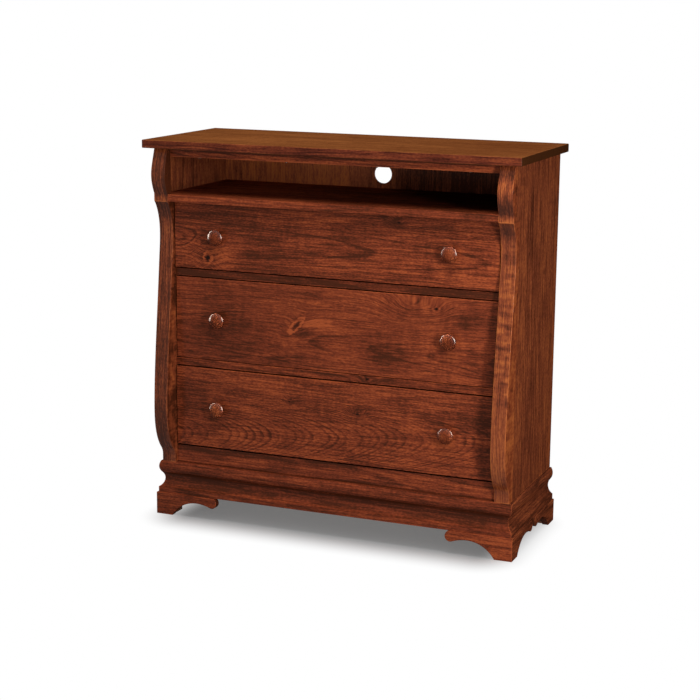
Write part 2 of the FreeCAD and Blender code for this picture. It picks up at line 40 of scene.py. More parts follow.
class Sheet:
    """A node tree with short calls that each add one node and return its output."""

    def __init__(self, tree: bpy.types.NodeTree) -> None:
        """Works on the given tree."""
        self.tree = tree

    @classmethod
    def blank(cls, owner: Union[bpy.types.Material, bpy.types.World]) -> "Sheet":
        """Empties the nodes of a material or a world.

        Args:
            owner: the material or world.

        Returns:
            A sheet on its node tree.
        """
        owner.use_nodes = True
        owner.node_tree.nodes.clear()
        return cls(owner.node_tree)

    def feed(self, socket: Socket, value: Value) -> None:
        """Links an output to the socket, or sets the socket to a plain value.

        Args:
            socket: the input that is fed.
            value: the output or the plain value.
        """
        if isinstance(value, bpy.types.NodeSocket):
            self.tree.links.new(value, socket)
        else:
            socket.default_value = value

    def node(self, kind: str, inputs: Mapping[Union[str, int], Value], **settings: object) -> bpy.types.Node:
        """Adds a node.

        Args:
            kind: the node's type name.
            inputs: values or outputs for its inputs, by name or place.
            settings: its properties.

        Returns:
            The new node.
        """
        node = self.tree.nodes.new(kind)
        for name, setting in settings.items():
            setattr(node, name, setting)
        for name, value in inputs.items():
            self.feed(node.inputs[name], value)
        return node

    def math(self, operation: str, *values: Value, clamp: bool = False) -> Socket:
        """One arithmetic step on numbers."""
        inputs = dict(enumerate(values))
        return self.node("ShaderNodeMath", inputs, operation=operation, use_clamp=clamp).outputs[0]

    def vector(self, operation: str, *values: Value) -> Socket:
        """One arithmetic step on vectors."""
        return self.node("ShaderNodeVectorMath", dict(enumerate(values)), operation=operation).outputs[0]

    def noise(
        self, vector: Socket, stretch: Sequence[float], detail: float = 2.0, rough: float = 0.5,
    ) -> Socket:
        """Smooth noise about zero, mostly within a half either way.

        Args:
            vector: where it is read.
            stretch: how many waves there are to a metre along each axis.
            detail: how many finer layers are added.
            rough: how strong the finer layers are.

        Returns:
            The noise value.
        """
        place = self.vector("MULTIPLY", vector, stretch)
        inputs = {"Vector": place, "Scale": 1.0, "Detail": detail, "Roughness": rough}
        level = self.node("ShaderNodeTexNoise", inputs, noise_dimensions="3D").outputs["Fac"]
        return self.math("SUBTRACT", level, 0.5)

    def ramp(self, value: Value, low: Value, high: Value, start: Value = 0.0, end: Value = 1.0) -> Socket:
        """A soft step from start to end while the value goes from low to high."""
        inputs = {"Value": value, "From Min": low, "From Max": high, "To Min": start, "To Max": end}
        return self.node("ShaderNodeMapRange", inputs, interpolation_type="SMOOTHSTEP").outputs[0]

    def line(self, value: Value, low: Value, high: Value) -> Socket:
        """A straight rise from zero to one while the value goes from low to high."""
        inputs = {"Value": value, "From Min": low, "From Max": high}
        return self.node("ShaderNodeMapRange", inputs, interpolation_type="LINEAR").outputs[0]

    def blend(self, factor: Value, first: Value, second: Value) -> Socket:
        """A colour between two colours, by the places that the mix node keeps its colours in."""
        inputs = {0: factor, 6: first, 7: second}
        return self.node("ShaderNodeMix", inputs, data_type="RGBA").outputs[2]

    def apart(self, vector: Socket) -> List[Socket]:
        """The three coordinates of a vector."""
        return list(self.node("ShaderNodeSeparateXYZ", {0: vector}).outputs)

    def total(self, *values: Value) -> Socket:
        """The sum of several numbers.

        Args:
            values: the numbers, at least one.

        Returns:
            Their sum.
        """
        result = values[0]
        for value in values[1:]:
            result = self.math("ADD", result, value)
        return result

    def distance(self, *sides: Value) -> Socket:
        """The length of the slanted side over two or more square sides."""
        return self.math("SQRT", self.total(*(self.math("POWER", side, 2.0) for side in sides)))

    def placed(self, group: bpy.types.NodeTree, inputs: Mapping[str, Value]) -> Dict[str, Socket]:
        """Places a shared effect and gives its outputs by name."""
        node = self.node("ShaderNodeGroup", inputs, node_tree=group)
        return {output.name: output for output in node.outputs}


class SharedEffect:
    """A shader node group: its inputs and outputs by name, and the nodes between them."""

    KINDS = {"number": "NodeSocketFloat", "vector": "NodeSocketVector", "colour": "NodeSocketColor"}

    def __init__(self, name: str, inputs: Mapping[str, str], outputs: Mapping[str, str]) -> None:
        """Makes an empty group.

        Args:
            name: the group's name.
            inputs: the kind of each input.
            outputs: the kind of each output.
        """
        self.group = bpy.data.node_groups.new(name, "ShaderNodeTree")
        for label, kind in inputs.items():
            self.group.interface.new_socket(name=label, in_out="INPUT", socket_type=self.KINDS[kind])
        for label, kind in outputs.items():
            self.group.interface.new_socket(name=label, in_out="OUTPUT", socket_type=self.KINDS[kind])
        self.sheet = Sheet(self.group)
        self.given = self.group.nodes.new("NodeGroupInput").outputs
        self.results = self.group.nodes.new("NodeGroupOutput").inputs

    def give(self, **results: Socket) -> bpy.types.NodeTree:
        """Links the results to the group's outputs.

        Args:
            results: the results, by the outputs' names with underscores for spaces.

        Returns:
            The finished group.
        """
        for name, result in results.items():
            self.sheet.feed(self.results[name.replace("_", " ")], result)
        return self.group


# Waves to a metre of each layer of the figure, along the grain and both ways across it
FIGURE_WAVES: Dict[str, Triple] = {
    "wander": (1.6, 4.0, 4.0),
    "ripple": (9.0, 34.0, 34.0),
    "clear": (3.0, 9.0, 9.0),
    "broken": (9.0, 90.0, 90.0),
    "hair": (24.0, 620.0, 620.0),
    "thread": (8.0, 190.0, 190.0),
    "streak": (3.4, 55.0, 55.0),
    "fleck": (120.0, 330.0, 330.0),
    "broad": (3.4, 9.0, 9.0),
    "blotch": (13.0, 34.0, 34.0),
    "bands": (55.0, 16.0, 16.0),
    "where": (4.0, 9.0, 9.0),
    "pore": (55.0, 1300.0, 1300.0),
    "dash": (30.0, 270.0, 270.0),
}
# The noise levels between which a layer goes from zero to one, or between the two numbers after them
FIGURE_CUTS: Dict[str, Tuple[float, ...]] = {
    "clear": (-0.18, 0.12, 0.6, 1.0),
    "broken": (-0.16, 0.14, 0.55, 1.0),
    "thread": (-0.12, 0.12, -0.5, 0.5),
    "where": (-0.12, 0.14),
    "pore": (0.13, 0.22),
    "dash": (0.07, 0.2),
}
# Where in a year's growth the late wood sets in and where it ends, and how much the years differ
LATE_RISE = (0.35, 0.8)
LATE_FALL = (0.8, 1.0)
YEAR_STRENGTH = (0.1, 1.0, 0.2, 1.0)
# How strong each kind of fibre is
FIBRE_WEIGHTS: Dict[str, float] = {"hair": 0.5, "thread": 0.38, "streak": 0.3, "fleck": 0.9}
BLOTCH_WEIGHT = 0.75
# How far apart the figures of two seeds lie, in metres to one step of the seed
SEED_STEP = (7.3, 3.1, 5.7)


def wood_figure() -> bpy.types.NodeTree:
    """Growth rings around a leaning heart, fibres, clouds, curl and dashes, along the first axis.

    Returns:
        The node group.
    """
    numbers = ("Seed", "Lift", "Rings", "Ripple", "Heart", "Pith", "Lean", "Sway", "Waver")
    effect = SharedEffect(
        "wood_figure",
        {"Vector": "vector", **dict.fromkeys(numbers, "number")},
        dict.fromkeys(("Ring", "Fibre", "Cloud", "Curl", "Pore", "Dash"), "number"),
    )
    sheet, given = effect.sheet, effect.given
    along, across, depth = sheet.apart(given["Vector"])
    waves, cuts = FIGURE_WAVES, FIGURE_CUTS
    shift = sheet.vector("SCALE", SEED_STEP)
    sheet.feed(shift.node.inputs["Scale"], given["Seed"])
    place = sheet.vector("ADD", given["Vector"], shift)

    wander = sheet.math("MULTIPLY", sheet.noise(place, waves["wander"]), given["Waver"])
    ripple = sheet.math("MULTIPLY", sheet.noise(place, waves["ripple"], 3.0), given["Ripple"])
    sideways = sheet.math("SUBTRACT", across, given["Heart"])
    sideways = sheet.total(sheet.math("MULTIPLY", given["Sway"], along), sideways, wander)
    inward = sheet.math("MULTIPLY_ADD", given["Lean"], along, sheet.math("ADD", depth, given["Pith"]))
    radius = sheet.math("ADD", sheet.distance(sideways, inward), given["Lift"])
    phase = sheet.math("MULTIPLY_ADD", radius, given["Rings"], ripple)
    part = sheet.math("FRACT", phase)
    year = sheet.node("ShaderNodeTexWhiteNoise", {"W": sheet.math("FLOOR", phase)}, noise_dimensions="1D")
    late = sheet.math("SUBTRACT", sheet.ramp(part, *LATE_RISE), sheet.ramp(part, *LATE_FALL))
    strength = sheet.ramp(year.outputs["Value"], *YEAR_STRENGTH)
    clear = sheet.ramp(sheet.noise(place, waves["clear"]), *cuts["clear"])
    carried = sheet.vector("ADD", place, sheet.node("ShaderNodeCombineXYZ", {1: given["Lift"]}).outputs[0])
    broken = sheet.ramp(sheet.noise(carried, waves["broken"]), *cuts["broken"])
    whole = sheet.math("MULTIPLY", late, strength)
    ring = sheet.math("MULTIPLY", whole, sheet.math("MULTIPLY", clear, broken))

    fibres = {
        "hair": sheet.noise(carried, waves["hair"], 2.0, 0.6),
        "thread": sheet.ramp(sheet.noise(carried, waves["thread"], 3.0, 0.6), *cuts["thread"]),
        "streak": sheet.noise(carried, waves["streak"], 2.0, 0.6),
        "fleck": sheet.noise(carried, waves["fleck"], 1.0),
    }
    fibre = sheet.total(*(sheet.math("MULTIPLY", fibres[name], FIBRE_WEIGHTS[name]) for name in fibres))
    broad = sheet.noise(place, waves["broad"])
    blotch = sheet.noise(place, waves["blotch"], 3.0, 0.6)
    cloud = sheet.math("MULTIPLY_ADD", blotch, BLOTCH_WEIGHT, broad)
    where = sheet.ramp(sheet.noise(place, waves["where"], 1.0), *cuts["where"])
    curl = sheet.math("MULTIPLY", sheet.noise(place, waves["bands"]), where)
    pore = sheet.ramp(sheet.noise(carried, waves["pore"], 1.0), *cuts["pore"])
    dash = sheet.ramp(sheet.noise(carried, waves["dash"], 2.0, 0.6), *cuts["dash"])
    return effect.give(Ring=ring, Fibre=fibre, Cloud=cloud, Curl=curl, Pore=pore, Dash=dash)


# Waves to a metre of a knot's frayed outline and of the smudge about it, along and across the face
FRAY_WAVES = (110.0, 150.0, 0.0)
SMUDGE_WAVES = (38.0, 75.0, 0.0)
# Between which distances from its middle, in radii, each part of a knot comes or goes
CORE_END = (0.35, 1.0)
SMUDGE_END = (1.0, 4.2)
GLOW_START = (0.8, 1.3)
GLOW_END = (1.4, 2.0)
# Noise levels between which the smudge and the light ring come out
SMUDGE_CUT = (-0.16, 0.12)
GLOW_CUT = (-0.14, 0.1, 0.2, 1.0)
# How far the outline frays, in radii, how dark the smudge is and how fast the lifted grain sinks again
FRAY = 1.5
SMUDGE_TONE = -0.34
LIFT_FALL = -0.05


def knot_mark() -> bpy.types.NodeTree:
    """One knot on a face: how it lifts the grain around it, its dark core and the shade about it.

    Returns:
        The node group.
    """
    numbers = ("Along", "Across", "Radius", "Stretch", "Tilt", "Swell", "Dark", "Glow")
    effect = SharedEffect(
        "knot_mark",
        {"Vector": "vector", **dict.fromkeys(numbers, "number")},
        dict.fromkeys(("Lift", "Core", "Shade"), "number"),
    )
    sheet, given = effect.sheet, effect.given
    along, across, _ = sheet.apart(given["Vector"])
    ragged = sheet.noise(given["Vector"], FRAY_WAVES)
    run = sheet.math("SUBTRACT", along, given["Along"])
    rise = sheet.math("SUBTRACT", across, given["Across"])
    cosine = sheet.math("COSINE", given["Tilt"])
    sine = sheet.math("SINE", given["Tilt"])
    length = sheet.total(sheet.math("MULTIPLY", run, cosine), sheet.math("MULTIPLY", rise, sine))
    width = sheet.math("SUBTRACT", sheet.math("MULTIPLY", rise, cosine), sheet.math("MULTIPLY", run, sine))
    spread = sheet.distance(sheet.math("DIVIDE", length, given["Stretch"]), width)
    far = sheet.math("DIVIDE", spread, given["Radius"])
    frayed = sheet.math("MULTIPLY_ADD", ragged, FRAY, far)
    core = sheet.ramp(frayed, *CORE_END, given["Dark"], 0.0)
    uneven = sheet.noise(given["Vector"], SMUDGE_WAVES)
    smudge = sheet.ramp(frayed, *SMUDGE_END, 1.0, 0.0)
    smudge = sheet.math("MULTIPLY", smudge, sheet.ramp(uneven, *SMUDGE_CUT))
    lit = sheet.math("MULTIPLY", sheet.ramp(uneven, *GLOW_CUT), given["Glow"])
    glow = sheet.math("SUBTRACT", sheet.ramp(frayed, *GLOW_START), sheet.ramp(frayed, *GLOW_END))
    shade = sheet.math("MULTIPLY", smudge, sheet.math("MULTIPLY", given["Dark"], SMUDGE_TONE))
    shade = sheet.math("MULTIPLY_ADD", glow, lit, shade)
    hump = sheet.math("EXPONENT", sheet.math("MULTIPLY", sheet.math("POWER", far, 2.0), LIFT_FALL))
    lift = sheet.math("MULTIPLY", hump, sheet.math("MULTIPLY", given["Radius"], given["Swell"]))
    return effect.give(Lift=lift, Core=core, Shade=shade)


# Waves to a metre of a cloud's outline, and between which parts of its reach it fades
PATCH_WAVES = (19.0, 70.0, 0.0)
PATCH_FADE = (0.2, 1.2)


def stain_light_and_shade_patch() -> bpy.types.NodeTree:
    """One soft cloud with a ragged outline on a face, used both for clouds in the stain and for painted
    shade and painted highlights.

    Returns:
        The node group.
    """
    effect = SharedEffect(
        "stain_light_and_shade_patch",
        {"Vector": "vector", **dict.fromkeys(("Along", "Across", "Length", "Width", "Ragged"), "number")},
        {"Mask": "number"},
    )
    sheet, given = effect.sheet, effect.given
    along, across, _ = sheet.apart(given["Vector"])
    ragged = sheet.noise(given["Vector"], PATCH_WAVES, 3.0, 0.65)
    run = sheet.math("DIVIDE", sheet.math("SUBTRACT", along, given["Along"]), given["Length"])
    rise = sheet.math("DIVIDE", sheet.math("SUBTRACT", across, given["Across"]), given["Width"])
    far = sheet.math("MULTIPLY_ADD", ragged, given["Ragged"], sheet.distance(run, rise))
    return effect.give(Mask=sheet.ramp(far, *PATCH_FADE, 1.0, 0.0))


# Half the width of a glue line, and the furthest that a stave's figure lies from its neighbour's, in metres
JOINT_LINE = 0.0012
STAVE_SHIFT = (2.0, 0.05, 0.12)


def glued_staves() -> bpy.types.NodeTree:
    """Boards glued edge to edge: each stave has its own figure and tone, with a fine line between.

    Returns:
        The node group.
    """
    effect = SharedEffect(
        "glued_staves",
        {"Vector": "vector", **dict.fromkeys(("Width", "Offset", "Seed"), "number")},
        {"Vector": "vector", "Tone": "number", "Joint": "number"},
    )
    sheet, given = effect.sheet, effect.given
    _, across, _ = sheet.apart(given["Vector"])
    count = sheet.math("DIVIDE", sheet.math("SUBTRACT", across, given["Offset"]), given["Width"])
    stave = sheet.math("ADD", sheet.math("FLOOR", count), given["Seed"])
    part = sheet.math("FRACT", count)
    edge = sheet.math("MINIMUM", part, sheet.math("SUBTRACT", 1.0, part))
    joint = sheet.ramp(sheet.math("MULTIPLY", edge, given["Width"]), 0.0, JOINT_LINE, 1.0, 0.0)
    own = sheet.node("ShaderNodeTexWhiteNoise", {"W": stave}, noise_dimensions="1D")
    own_shift = sheet.vector("MULTIPLY", own.outputs["Color"], STAVE_SHIFT)
    moved = sheet.vector("ADD", given["Vector"], own_shift)
    return effect.give(Vector=moved, Tone=sheet.math("SUBTRACT", own.outputs["Value"], 0.5), Joint=joint)


# From how near an arris its lighter line, rubbed stain and painted highlight, is full to where it is gone,
# and how far that strays, in metres
WORN_AND_HIGHLIT_REACH = (0.0004, 0.0030)
WORN_AND_HIGHLIT_STRAY = 0.006
STRAY_WAVES = (24.0, 24.0, 24.0)
# How squarely a face looks along an axis when it is the end of the piece along that axis
OWN_FACING = 0.6


def rubbed_and_highlit_edges() -> bpy.types.NodeTree:
    """Where the arrises of a piece of the given half size are lighter: stain rubbed thin there, and a
    painted highlight.

    Returns:
        The node group.
    """
    effect = SharedEffect(
        "rubbed_and_highlit_edges", {"Vector": "vector", "Normal": "vector", "Half": "vector"}, {"Mask": "number"},
    )
    sheet, given = effect.sheet, effect.given
    room = sheet.apart(sheet.vector("SUBTRACT", given["Half"], sheet.vector("ABSOLUTE", given["Vector"])))
    facing = sheet.apart(sheet.vector("ABSOLUTE", given["Normal"]))
    nearest: Value = 1.0
    for gap, turned in zip(room, facing):
        own_face = sheet.math("GREATER_THAN", turned, OWN_FACING)
        nearest = sheet.math("MINIMUM", nearest, sheet.math("ADD", gap, own_face))
    stray = sheet.noise(given["Vector"], STRAY_WAVES, 3.0)
    worn = sheet.math("MULTIPLY_ADD", stray, WORN_AND_HIGHLIT_STRAY, nearest)
    return effect.give(Mask=sheet.ramp(worn, *WORN_AND_HIGHLIT_REACH, 1.0, 0.0))


# How much lighter the arrises are, by rubbed stain and painted highlight, how dark glue lines and pores are,
# and what makes the surface rougher
WORN_AND_HIGHLIT_TONE = 0.4
JOINT_DARK = 0.5
PORE_DARK = 0.4
ROUGHENING = 0.12
# Heights of the surface at a fibre, a late ring and a pit, as parts of the finish's relief
FIBRE_HEIGHT = 0.6
RING_HEIGHT = -0.35
PIT_DEPTH = 0.8


def stain_colour() -> bpy.types.NodeTree:
    """Turns a figure into stained wood: its colour, roughness and the height of its surface.

    Returns:
        The node group.
    """
    weights = ("Ring Weight", "Fibre Weight", "Cloud Weight", "Curl Weight", "Dash Weight")
    shapes = ("Ring", "Fibre", "Cloud", "Curl", "Pore", "Dash", "Core", "Joint", "Edge")
    numbers = shapes + ("Tone", "Gloss") + weights
    effect = SharedEffect(
        "stain_colour",
        {**dict.fromkeys(numbers, "number"), **dict.fromkeys(("Dark", "Middle", "Light", "Char"), "colour")},
        {"Colour": "colour", "Roughness": "number", "Height": "number"},
    )
    sheet, given = effect.sheet, effect.given
    tone = sheet.math("ADD", given["Tone"], 0.5)
    # Lighter arrises: rubbed stain and a painted highlight
    tone = sheet.math("ADD", tone, sheet.math("MULTIPLY", given["Edge"], WORN_AND_HIGHLIT_TONE))
    for name in ("Fibre", "Cloud", "Curl"):
        tone = sheet.math("ADD", tone, sheet.math("MULTIPLY", given[name], given[name + " Weight"]))
    for name in ("Ring", "Dash"):
        tone = sheet.math("SUBTRACT", tone, sheet.math("MULTIPLY", given[name], given[name + " Weight"]))
    colour = sheet.blend(sheet.line(tone, 0.0, 0.5), given["Dark"], given["Middle"])
    colour = sheet.blend(sheet.line(tone, 0.5, 1.0), colour, given["Light"])
    hidden = sheet.math("MAXIMUM", given["Core"], sheet.math("MULTIPLY", given["Joint"], JOINT_DARK))
    hidden = sheet.math("MAXIMUM", hidden, sheet.math("MULTIPLY", given["Pore"], PORE_DARK))
    colour = sheet.blend(hidden, colour, given["Char"])
    rough = sheet.math("MULTIPLY_ADD", given["Fibre"], ROUGHENING, given["Gloss"])
    rough = sheet.math("MULTIPLY_ADD", given["Core"], ROUGHENING, rough)
    height = sheet.math("MULTIPLY", given["Ring"], RING_HEIGHT)
    height = sheet.math("MULTIPLY_ADD", given["Fibre"], FIBRE_HEIGHT, height)
    height = sheet.math("SUBTRACT", height, sheet.math("MULTIPLY", hidden, PIT_DEPTH))
    return effect.give(Colour=colour, Roughness=rough, Height=height)


class Grain(Enum):
    """Which way a piece's wood runs, as the axes that become along, across and depth."""

    SIDE_TO_SIDE = ((1, 0, 0), (0, 0, 1), (0, -1, 0))
    LYING = ((1, 0, 0), (0, 1, 0), (0, 0, 1))
    UPRIGHT_FRONT = ((0, 0, 1), (1, 0, 0), (0, 1, 0))
    UPRIGHT_SIDE = ((0, 0, 1), (0, 1, 0), (-1, 0, 0))
    FRONT_TO_BACK = ((0, 1, 0), (0, 0, 1), (1, 0, 0))

    @property
    def turn(self) -> Matrix:
        """The rotation from the chest's axes to the wood's."""
        return Matrix(self.value)


@dataclass(frozen=True)
class Knot:
    """A knot on a face, in metres from the middle of the board, along and across the grain.

    Attributes:
        along: its place along the grain.
        across: its place across the grain.
        radius: half the width of its core.
        stretch: how many times longer than wide it is.
        tilt: how far it is turned, in radians.
        swell: how far it pushes the grain aside, in radii.
        dark: how dark the core and the smudge about it are.
        glow: how light the ring about the core is.
    """

    along: float
    across: float
    radius: float
    stretch: float = 1.4
    tilt: float = 0.0
    swell: float = 2.2
    dark: float = 1.0
    glow: float = 0.2


@dataclass(frozen=True)
class Patch:
    """A lighter or darker cloud on a face, in metres from the middle of the board: some are clouds in the
    stain, some painted shade or painted highlights.

    Attributes:
        along: its place along the grain.
        across: its place across the grain.
        length: how far it reaches along the grain.
        width: how far it reaches across the grain.
        tone: lighter above zero, darker below.
        ragged: how uneven its outline is.
        wraps: whether it goes on round the edges of the board.
    """

    along: float
    across: float
    length: float
    width: float
    tone: float
    ragged: float = 1.8
    wraps: bool = True


class Marks(NamedTuple):
    """What the knots and clouds of a board come to together.

    Attributes:
        lift: how far they push the grain aside, in metres.
        core: how black they are.
        tone: how much lighter they make the colour, painted shade and highlights included.
    """

    lift: Value
    core: Value
    tone: Value


@dataclass(frozen=True)
class Board:
    """How one piece was cut from the log.

    Attributes:
        grain: which way its wood runs.
        seed: a number of its own for what differs from board to board.
        heart: how far across the face the heart of the log lies, in metres from the middle.
        pith: how far behind the face's middle the heart lies, in metres.
        lean: how fast the heart goes deeper along the board.
        sway: how fast the heart wanders sideways along the board.
        rings: growth rings to a metre.
        depth: how fast the figure changes below the face, one in a flat board.
        ripple: how far the rings tremble, in rings.
        waver: how far the rings wander, in metres.
        tone: lighter above zero, darker below.
        lines: how strong the rings and fibres are, one where they are as usual.
        curl: how strong the bands across the grain are.
        worn: how strong the lighter arrises are, stain rubbed thin and a painted highlight, one where it is
            as usual.
        mitre: the distance across plus the distance back at which its mitres lie, in metres, if it has any.
        seam: painted shade, how black the long edge faces are where they face a narrow gap.
        stave: the width of each glued stave, in metres.
        stave_offset: where a joint lies, in metres from the middle.
        stave_tone: how much the staves differ.
        knots: the knots that show.
        patches: the clouds that show, both in the stain and of painted shade and highlights.
    """

    grain: Grain
    seed: float
    heart: float = 0.0
    pith: float = 0.06
    lean: float = 0.02
    sway: float = 0.02
    rings: float = 170.0
    depth: float = 1.0
    ripple: float = 0.8
    waver: float = 0.08
    tone: float = 0.0
    lines: float = 1.0
    curl: float = 0.5
    worn: float = 1.0
    mitre: Optional[float] = None
    seam: float = 0.0
    stave: float = 1.5
    stave_offset: float = -0.75
    stave_tone: float = 0.18
    knots: Tuple[Knot, ...] = ()
    patches: Tuple[Patch, ...] = ()

    def marks(self, sheet: Sheet, own: Socket, broad: Socket, effects: Effects) -> Marks:
        """Adds the board's knots and clouds, painted shade and highlights among them, to its material.

        Args:
            sheet: the material's nodes.
            own: the place in the wood's own axes.
            broad: one on the broad faces and zero on the edges.
            effects: the shared node groups.

        Returns:
            What they come to together.
        """
        lift: Value = 0.0
        core: Value = 0.0
        tone: Value = 0.0
        for knot in self.knots:
            sizes = {name.capitalize(): size for name, size in asdict(knot).items()}
            mark = sheet.placed(effects["knot_mark"], {"Vector": own, **sizes})
            lift = sheet.math("ADD", lift, mark["Lift"])
            core = sheet.math("MAXIMUM", core, mark["Core"])
            tone = sheet.math("ADD", tone, mark["Shade"])
        for patch in self.patches:
            mask = sheet.placed(effects["stain_light_and_shade_patch"], {
                "Vector": own, "Along": patch.along, "Across": patch.across,
                "Length": patch.length, "Width": patch.width, "Ragged": patch.ragged,
            })["Mask"]
            if not patch.wraps:
                mask = sheet.math("MULTIPLY", mask, broad)
            tone = sheet.math("MULTIPLY_ADD", mask, patch.tone, tone)
        return Marks(lift, core, tone)


# How squarely a face looks one way where an effect sets in, and where it is full
END_FACING = (0.55, 0.9)
BROAD_FACING = (0.5, 0.8)
WORN_AND_HIGHLIT_FACING = (0.2, 0.7)
GAP_SHADE_FACING = (0.75, 0.95)
FRONT_FACING = (-0.5, -0.95)
RIM_FACING = (-0.975, -0.80)
UPPER_FACING = (-0.25, 0.25)


@dataclass(frozen=True)
class WoodFinish:
    """A clear-coated wood, from bare maple to the dark red-brown stain of the show faces.

    Attributes:
        name: the first part of its materials' names.
        dark: its colour where it is darkest.
        middle: its colour halfway.
        light: its colour where it is lightest.
        char: the colour of knots' cores, of the painted shade on gap faces, of glue lines and of pores.
        ring_weight: how much darker late wood is.
        fibre_weight: how strong the fibres are.
        cloud_weight: how strong the stain's clouds are.
        dash_weight: how much darker the short dashes are.
        gloss: how rough the surface is.
        specular: how much plain gloss it has.
        coat: how strong the clear coat is where it shows.
        domed: whether the coat shows on an upper rim, as on a knob, and not on what faces forward.
        relief: how uneven the surface is, in metres.
        mitre_width: how far the lighter line along a mitre reaches, in metres: rubbed stain and a painted
            highlight.
        end_tone: how much lighter the ends of the grain are, or darker below zero.
        rim: the finish with the colours of the edges, where they differ.
        ends: the finish with the colours of the ends of the grain, where they differ.
    """

    name: str
    dark: Colour
    middle: Colour
    light: Colour
    char: Colour = (0.012, 0.004, 0.002, 1.0)
    ring_weight: float = 0.62
    fibre_weight: float = 1.0
    cloud_weight: float = 0.65
    dash_weight: float = 0.28
    gloss: float = 0.42
    specular: float = 0.0
    coat: float = 0.1
    domed: bool = False
    relief: float = 0.00015
    mitre_width: float = 0.0024
    end_tone: float = -0.5
    rim: Optional["WoodFinish"] = None
    ends: Optional["WoodFinish"] = None

    def tints(self, sheet: Sheet, broad: Socket, lengthwise: Socket) -> Dict[str, Value]:
        """The colours of the finish, which may differ between the broad faces, the edges and the ends.

        Args:
            sheet: the material's nodes.
            broad: one on the broad faces and zero on the edges.
            lengthwise: how squarely the ends of the grain are faced.

        Returns:
            The colours by the names that the stain takes them under.
        """
        tints: Dict[str, Value] = {"Dark": self.dark, "Middle": self.middle, "Light": self.light}
        if self.rim is not None:
            edge = {"Dark": self.rim.dark, "Middle": self.rim.middle, "Light": self.rim.light}
            tints = {name: sheet.blend(broad, edge[name], tints[name]) for name in tints}
        if self.ends is not None:
            end = {"Dark": self.ends.dark, "Middle": self.ends.middle, "Light": self.ends.light}
            cut = sheet.ramp(lengthwise, *END_FACING)
            tints = {name: sheet.blend(cut, tints[name], end[name]) for name in tints}
        return tints

    def mitre_line(self, sheet: Sheet, seen: Socket, mitre: float) -> Socket:
        """The lighter line along the mitres at the chest's two front corners: rubbed stain and a painted
        highlight.

        Args:
            sheet: the material's nodes.
            seen: the place in the chest's own axes.
            mitre: the distance across plus the distance back at which the mitres lie.

        Returns:
            One on the line and zero away from it.
        """
        sideways, backward, _ = sheet.apart(seen)
        off = sheet.math("SUBTRACT", sheet.math("ADD", sheet.math("ABSOLUTE", sideways), backward), mitre)
        return sheet.ramp(sheet.math("ABSOLUTE", off), self.mitre_width / 2, self.mitre_width, 1.0, 0.0)

    def sheen(self, sheet: Sheet, normal: Socket) -> Socket:
        """How strong the clear coat is on each part of a piece.

        Args:
            sheet: the material's nodes.
            normal: the way the surface faces, in the chest's own axes.

        Returns:
            The weight of the coat.
        """
        _, forward, upward = sheet.apart(normal)
        if self.domed:
            rim = sheet.ramp(forward, *RIM_FACING, 0.0, self.coat)
            return sheet.math("MULTIPLY", rim, sheet.ramp(upward, *UPPER_FACING))
        return sheet.ramp(forward, *FRONT_FACING, 0.0, self.coat)

    def material(self, piece: str, board: Board, effects: Effects) -> bpy.types.Material:
        """Makes the material of one board.

        Args:
            piece: the CAD node that wears it.
            board: how that piece was cut.
            effects: the shared node groups.

        Returns:
            The new material.
        """
        material = bpy.data.materials.new(self.name + "." + piece)
        sheet = Sheet.blank(material)
        low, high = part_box(piece)
        turn = board.grain.turn
        turned = {"Location": -(turn @ ((low + high) / 2)), "Rotation": turn.to_euler()}
        seen = sheet.node("ShaderNodeTexCoord", {}).outputs["Object"]
        own = sheet.node("ShaderNodeMapping", {"Vector": seen, **turned}).outputs[0]
        normal = sheet.node("ShaderNodeNewGeometry", {}).outputs["Normal"]
        facing = sheet.node(
            "ShaderNodeMapping", {"Vector": normal, "Rotation": turn.to_euler()}, vector_type="VECTOR",
        ).outputs[0]
        lengthwise, sidewise, outward = sheet.apart(sheet.vector("ABSOLUTE", facing))
        broad = sheet.ramp(outward, *BROAD_FACING)
        half = Vector(abs(length) / 2 for length in turn @ (high - low))
        edge = sheet.placed(effects["rubbed_and_highlit_edges"], {"Vector": own, "Normal": facing, "Half": half})["Mask"]
        # Lighter arrises, rubbed stain and a painted highlight, on the faces that look outward
        edge = sheet.math("MULTIPLY", edge, sheet.ramp(outward, *WORN_AND_HIGHLIT_FACING, 0.0, board.worn))
        if board.mitre is not None:
            # The mitre's lighter line: rubbed stain and a painted highlight
            edge = sheet.math("MAXIMUM", edge, self.mitre_line(sheet, seen, board.mitre))

        staves = sheet.placed(effects["glued_staves"], {
            "Vector": own, "Width": board.stave, "Offset": board.stave_offset, "Seed": board.seed,
        })
        marks = board.marks(sheet, own, broad, effects)
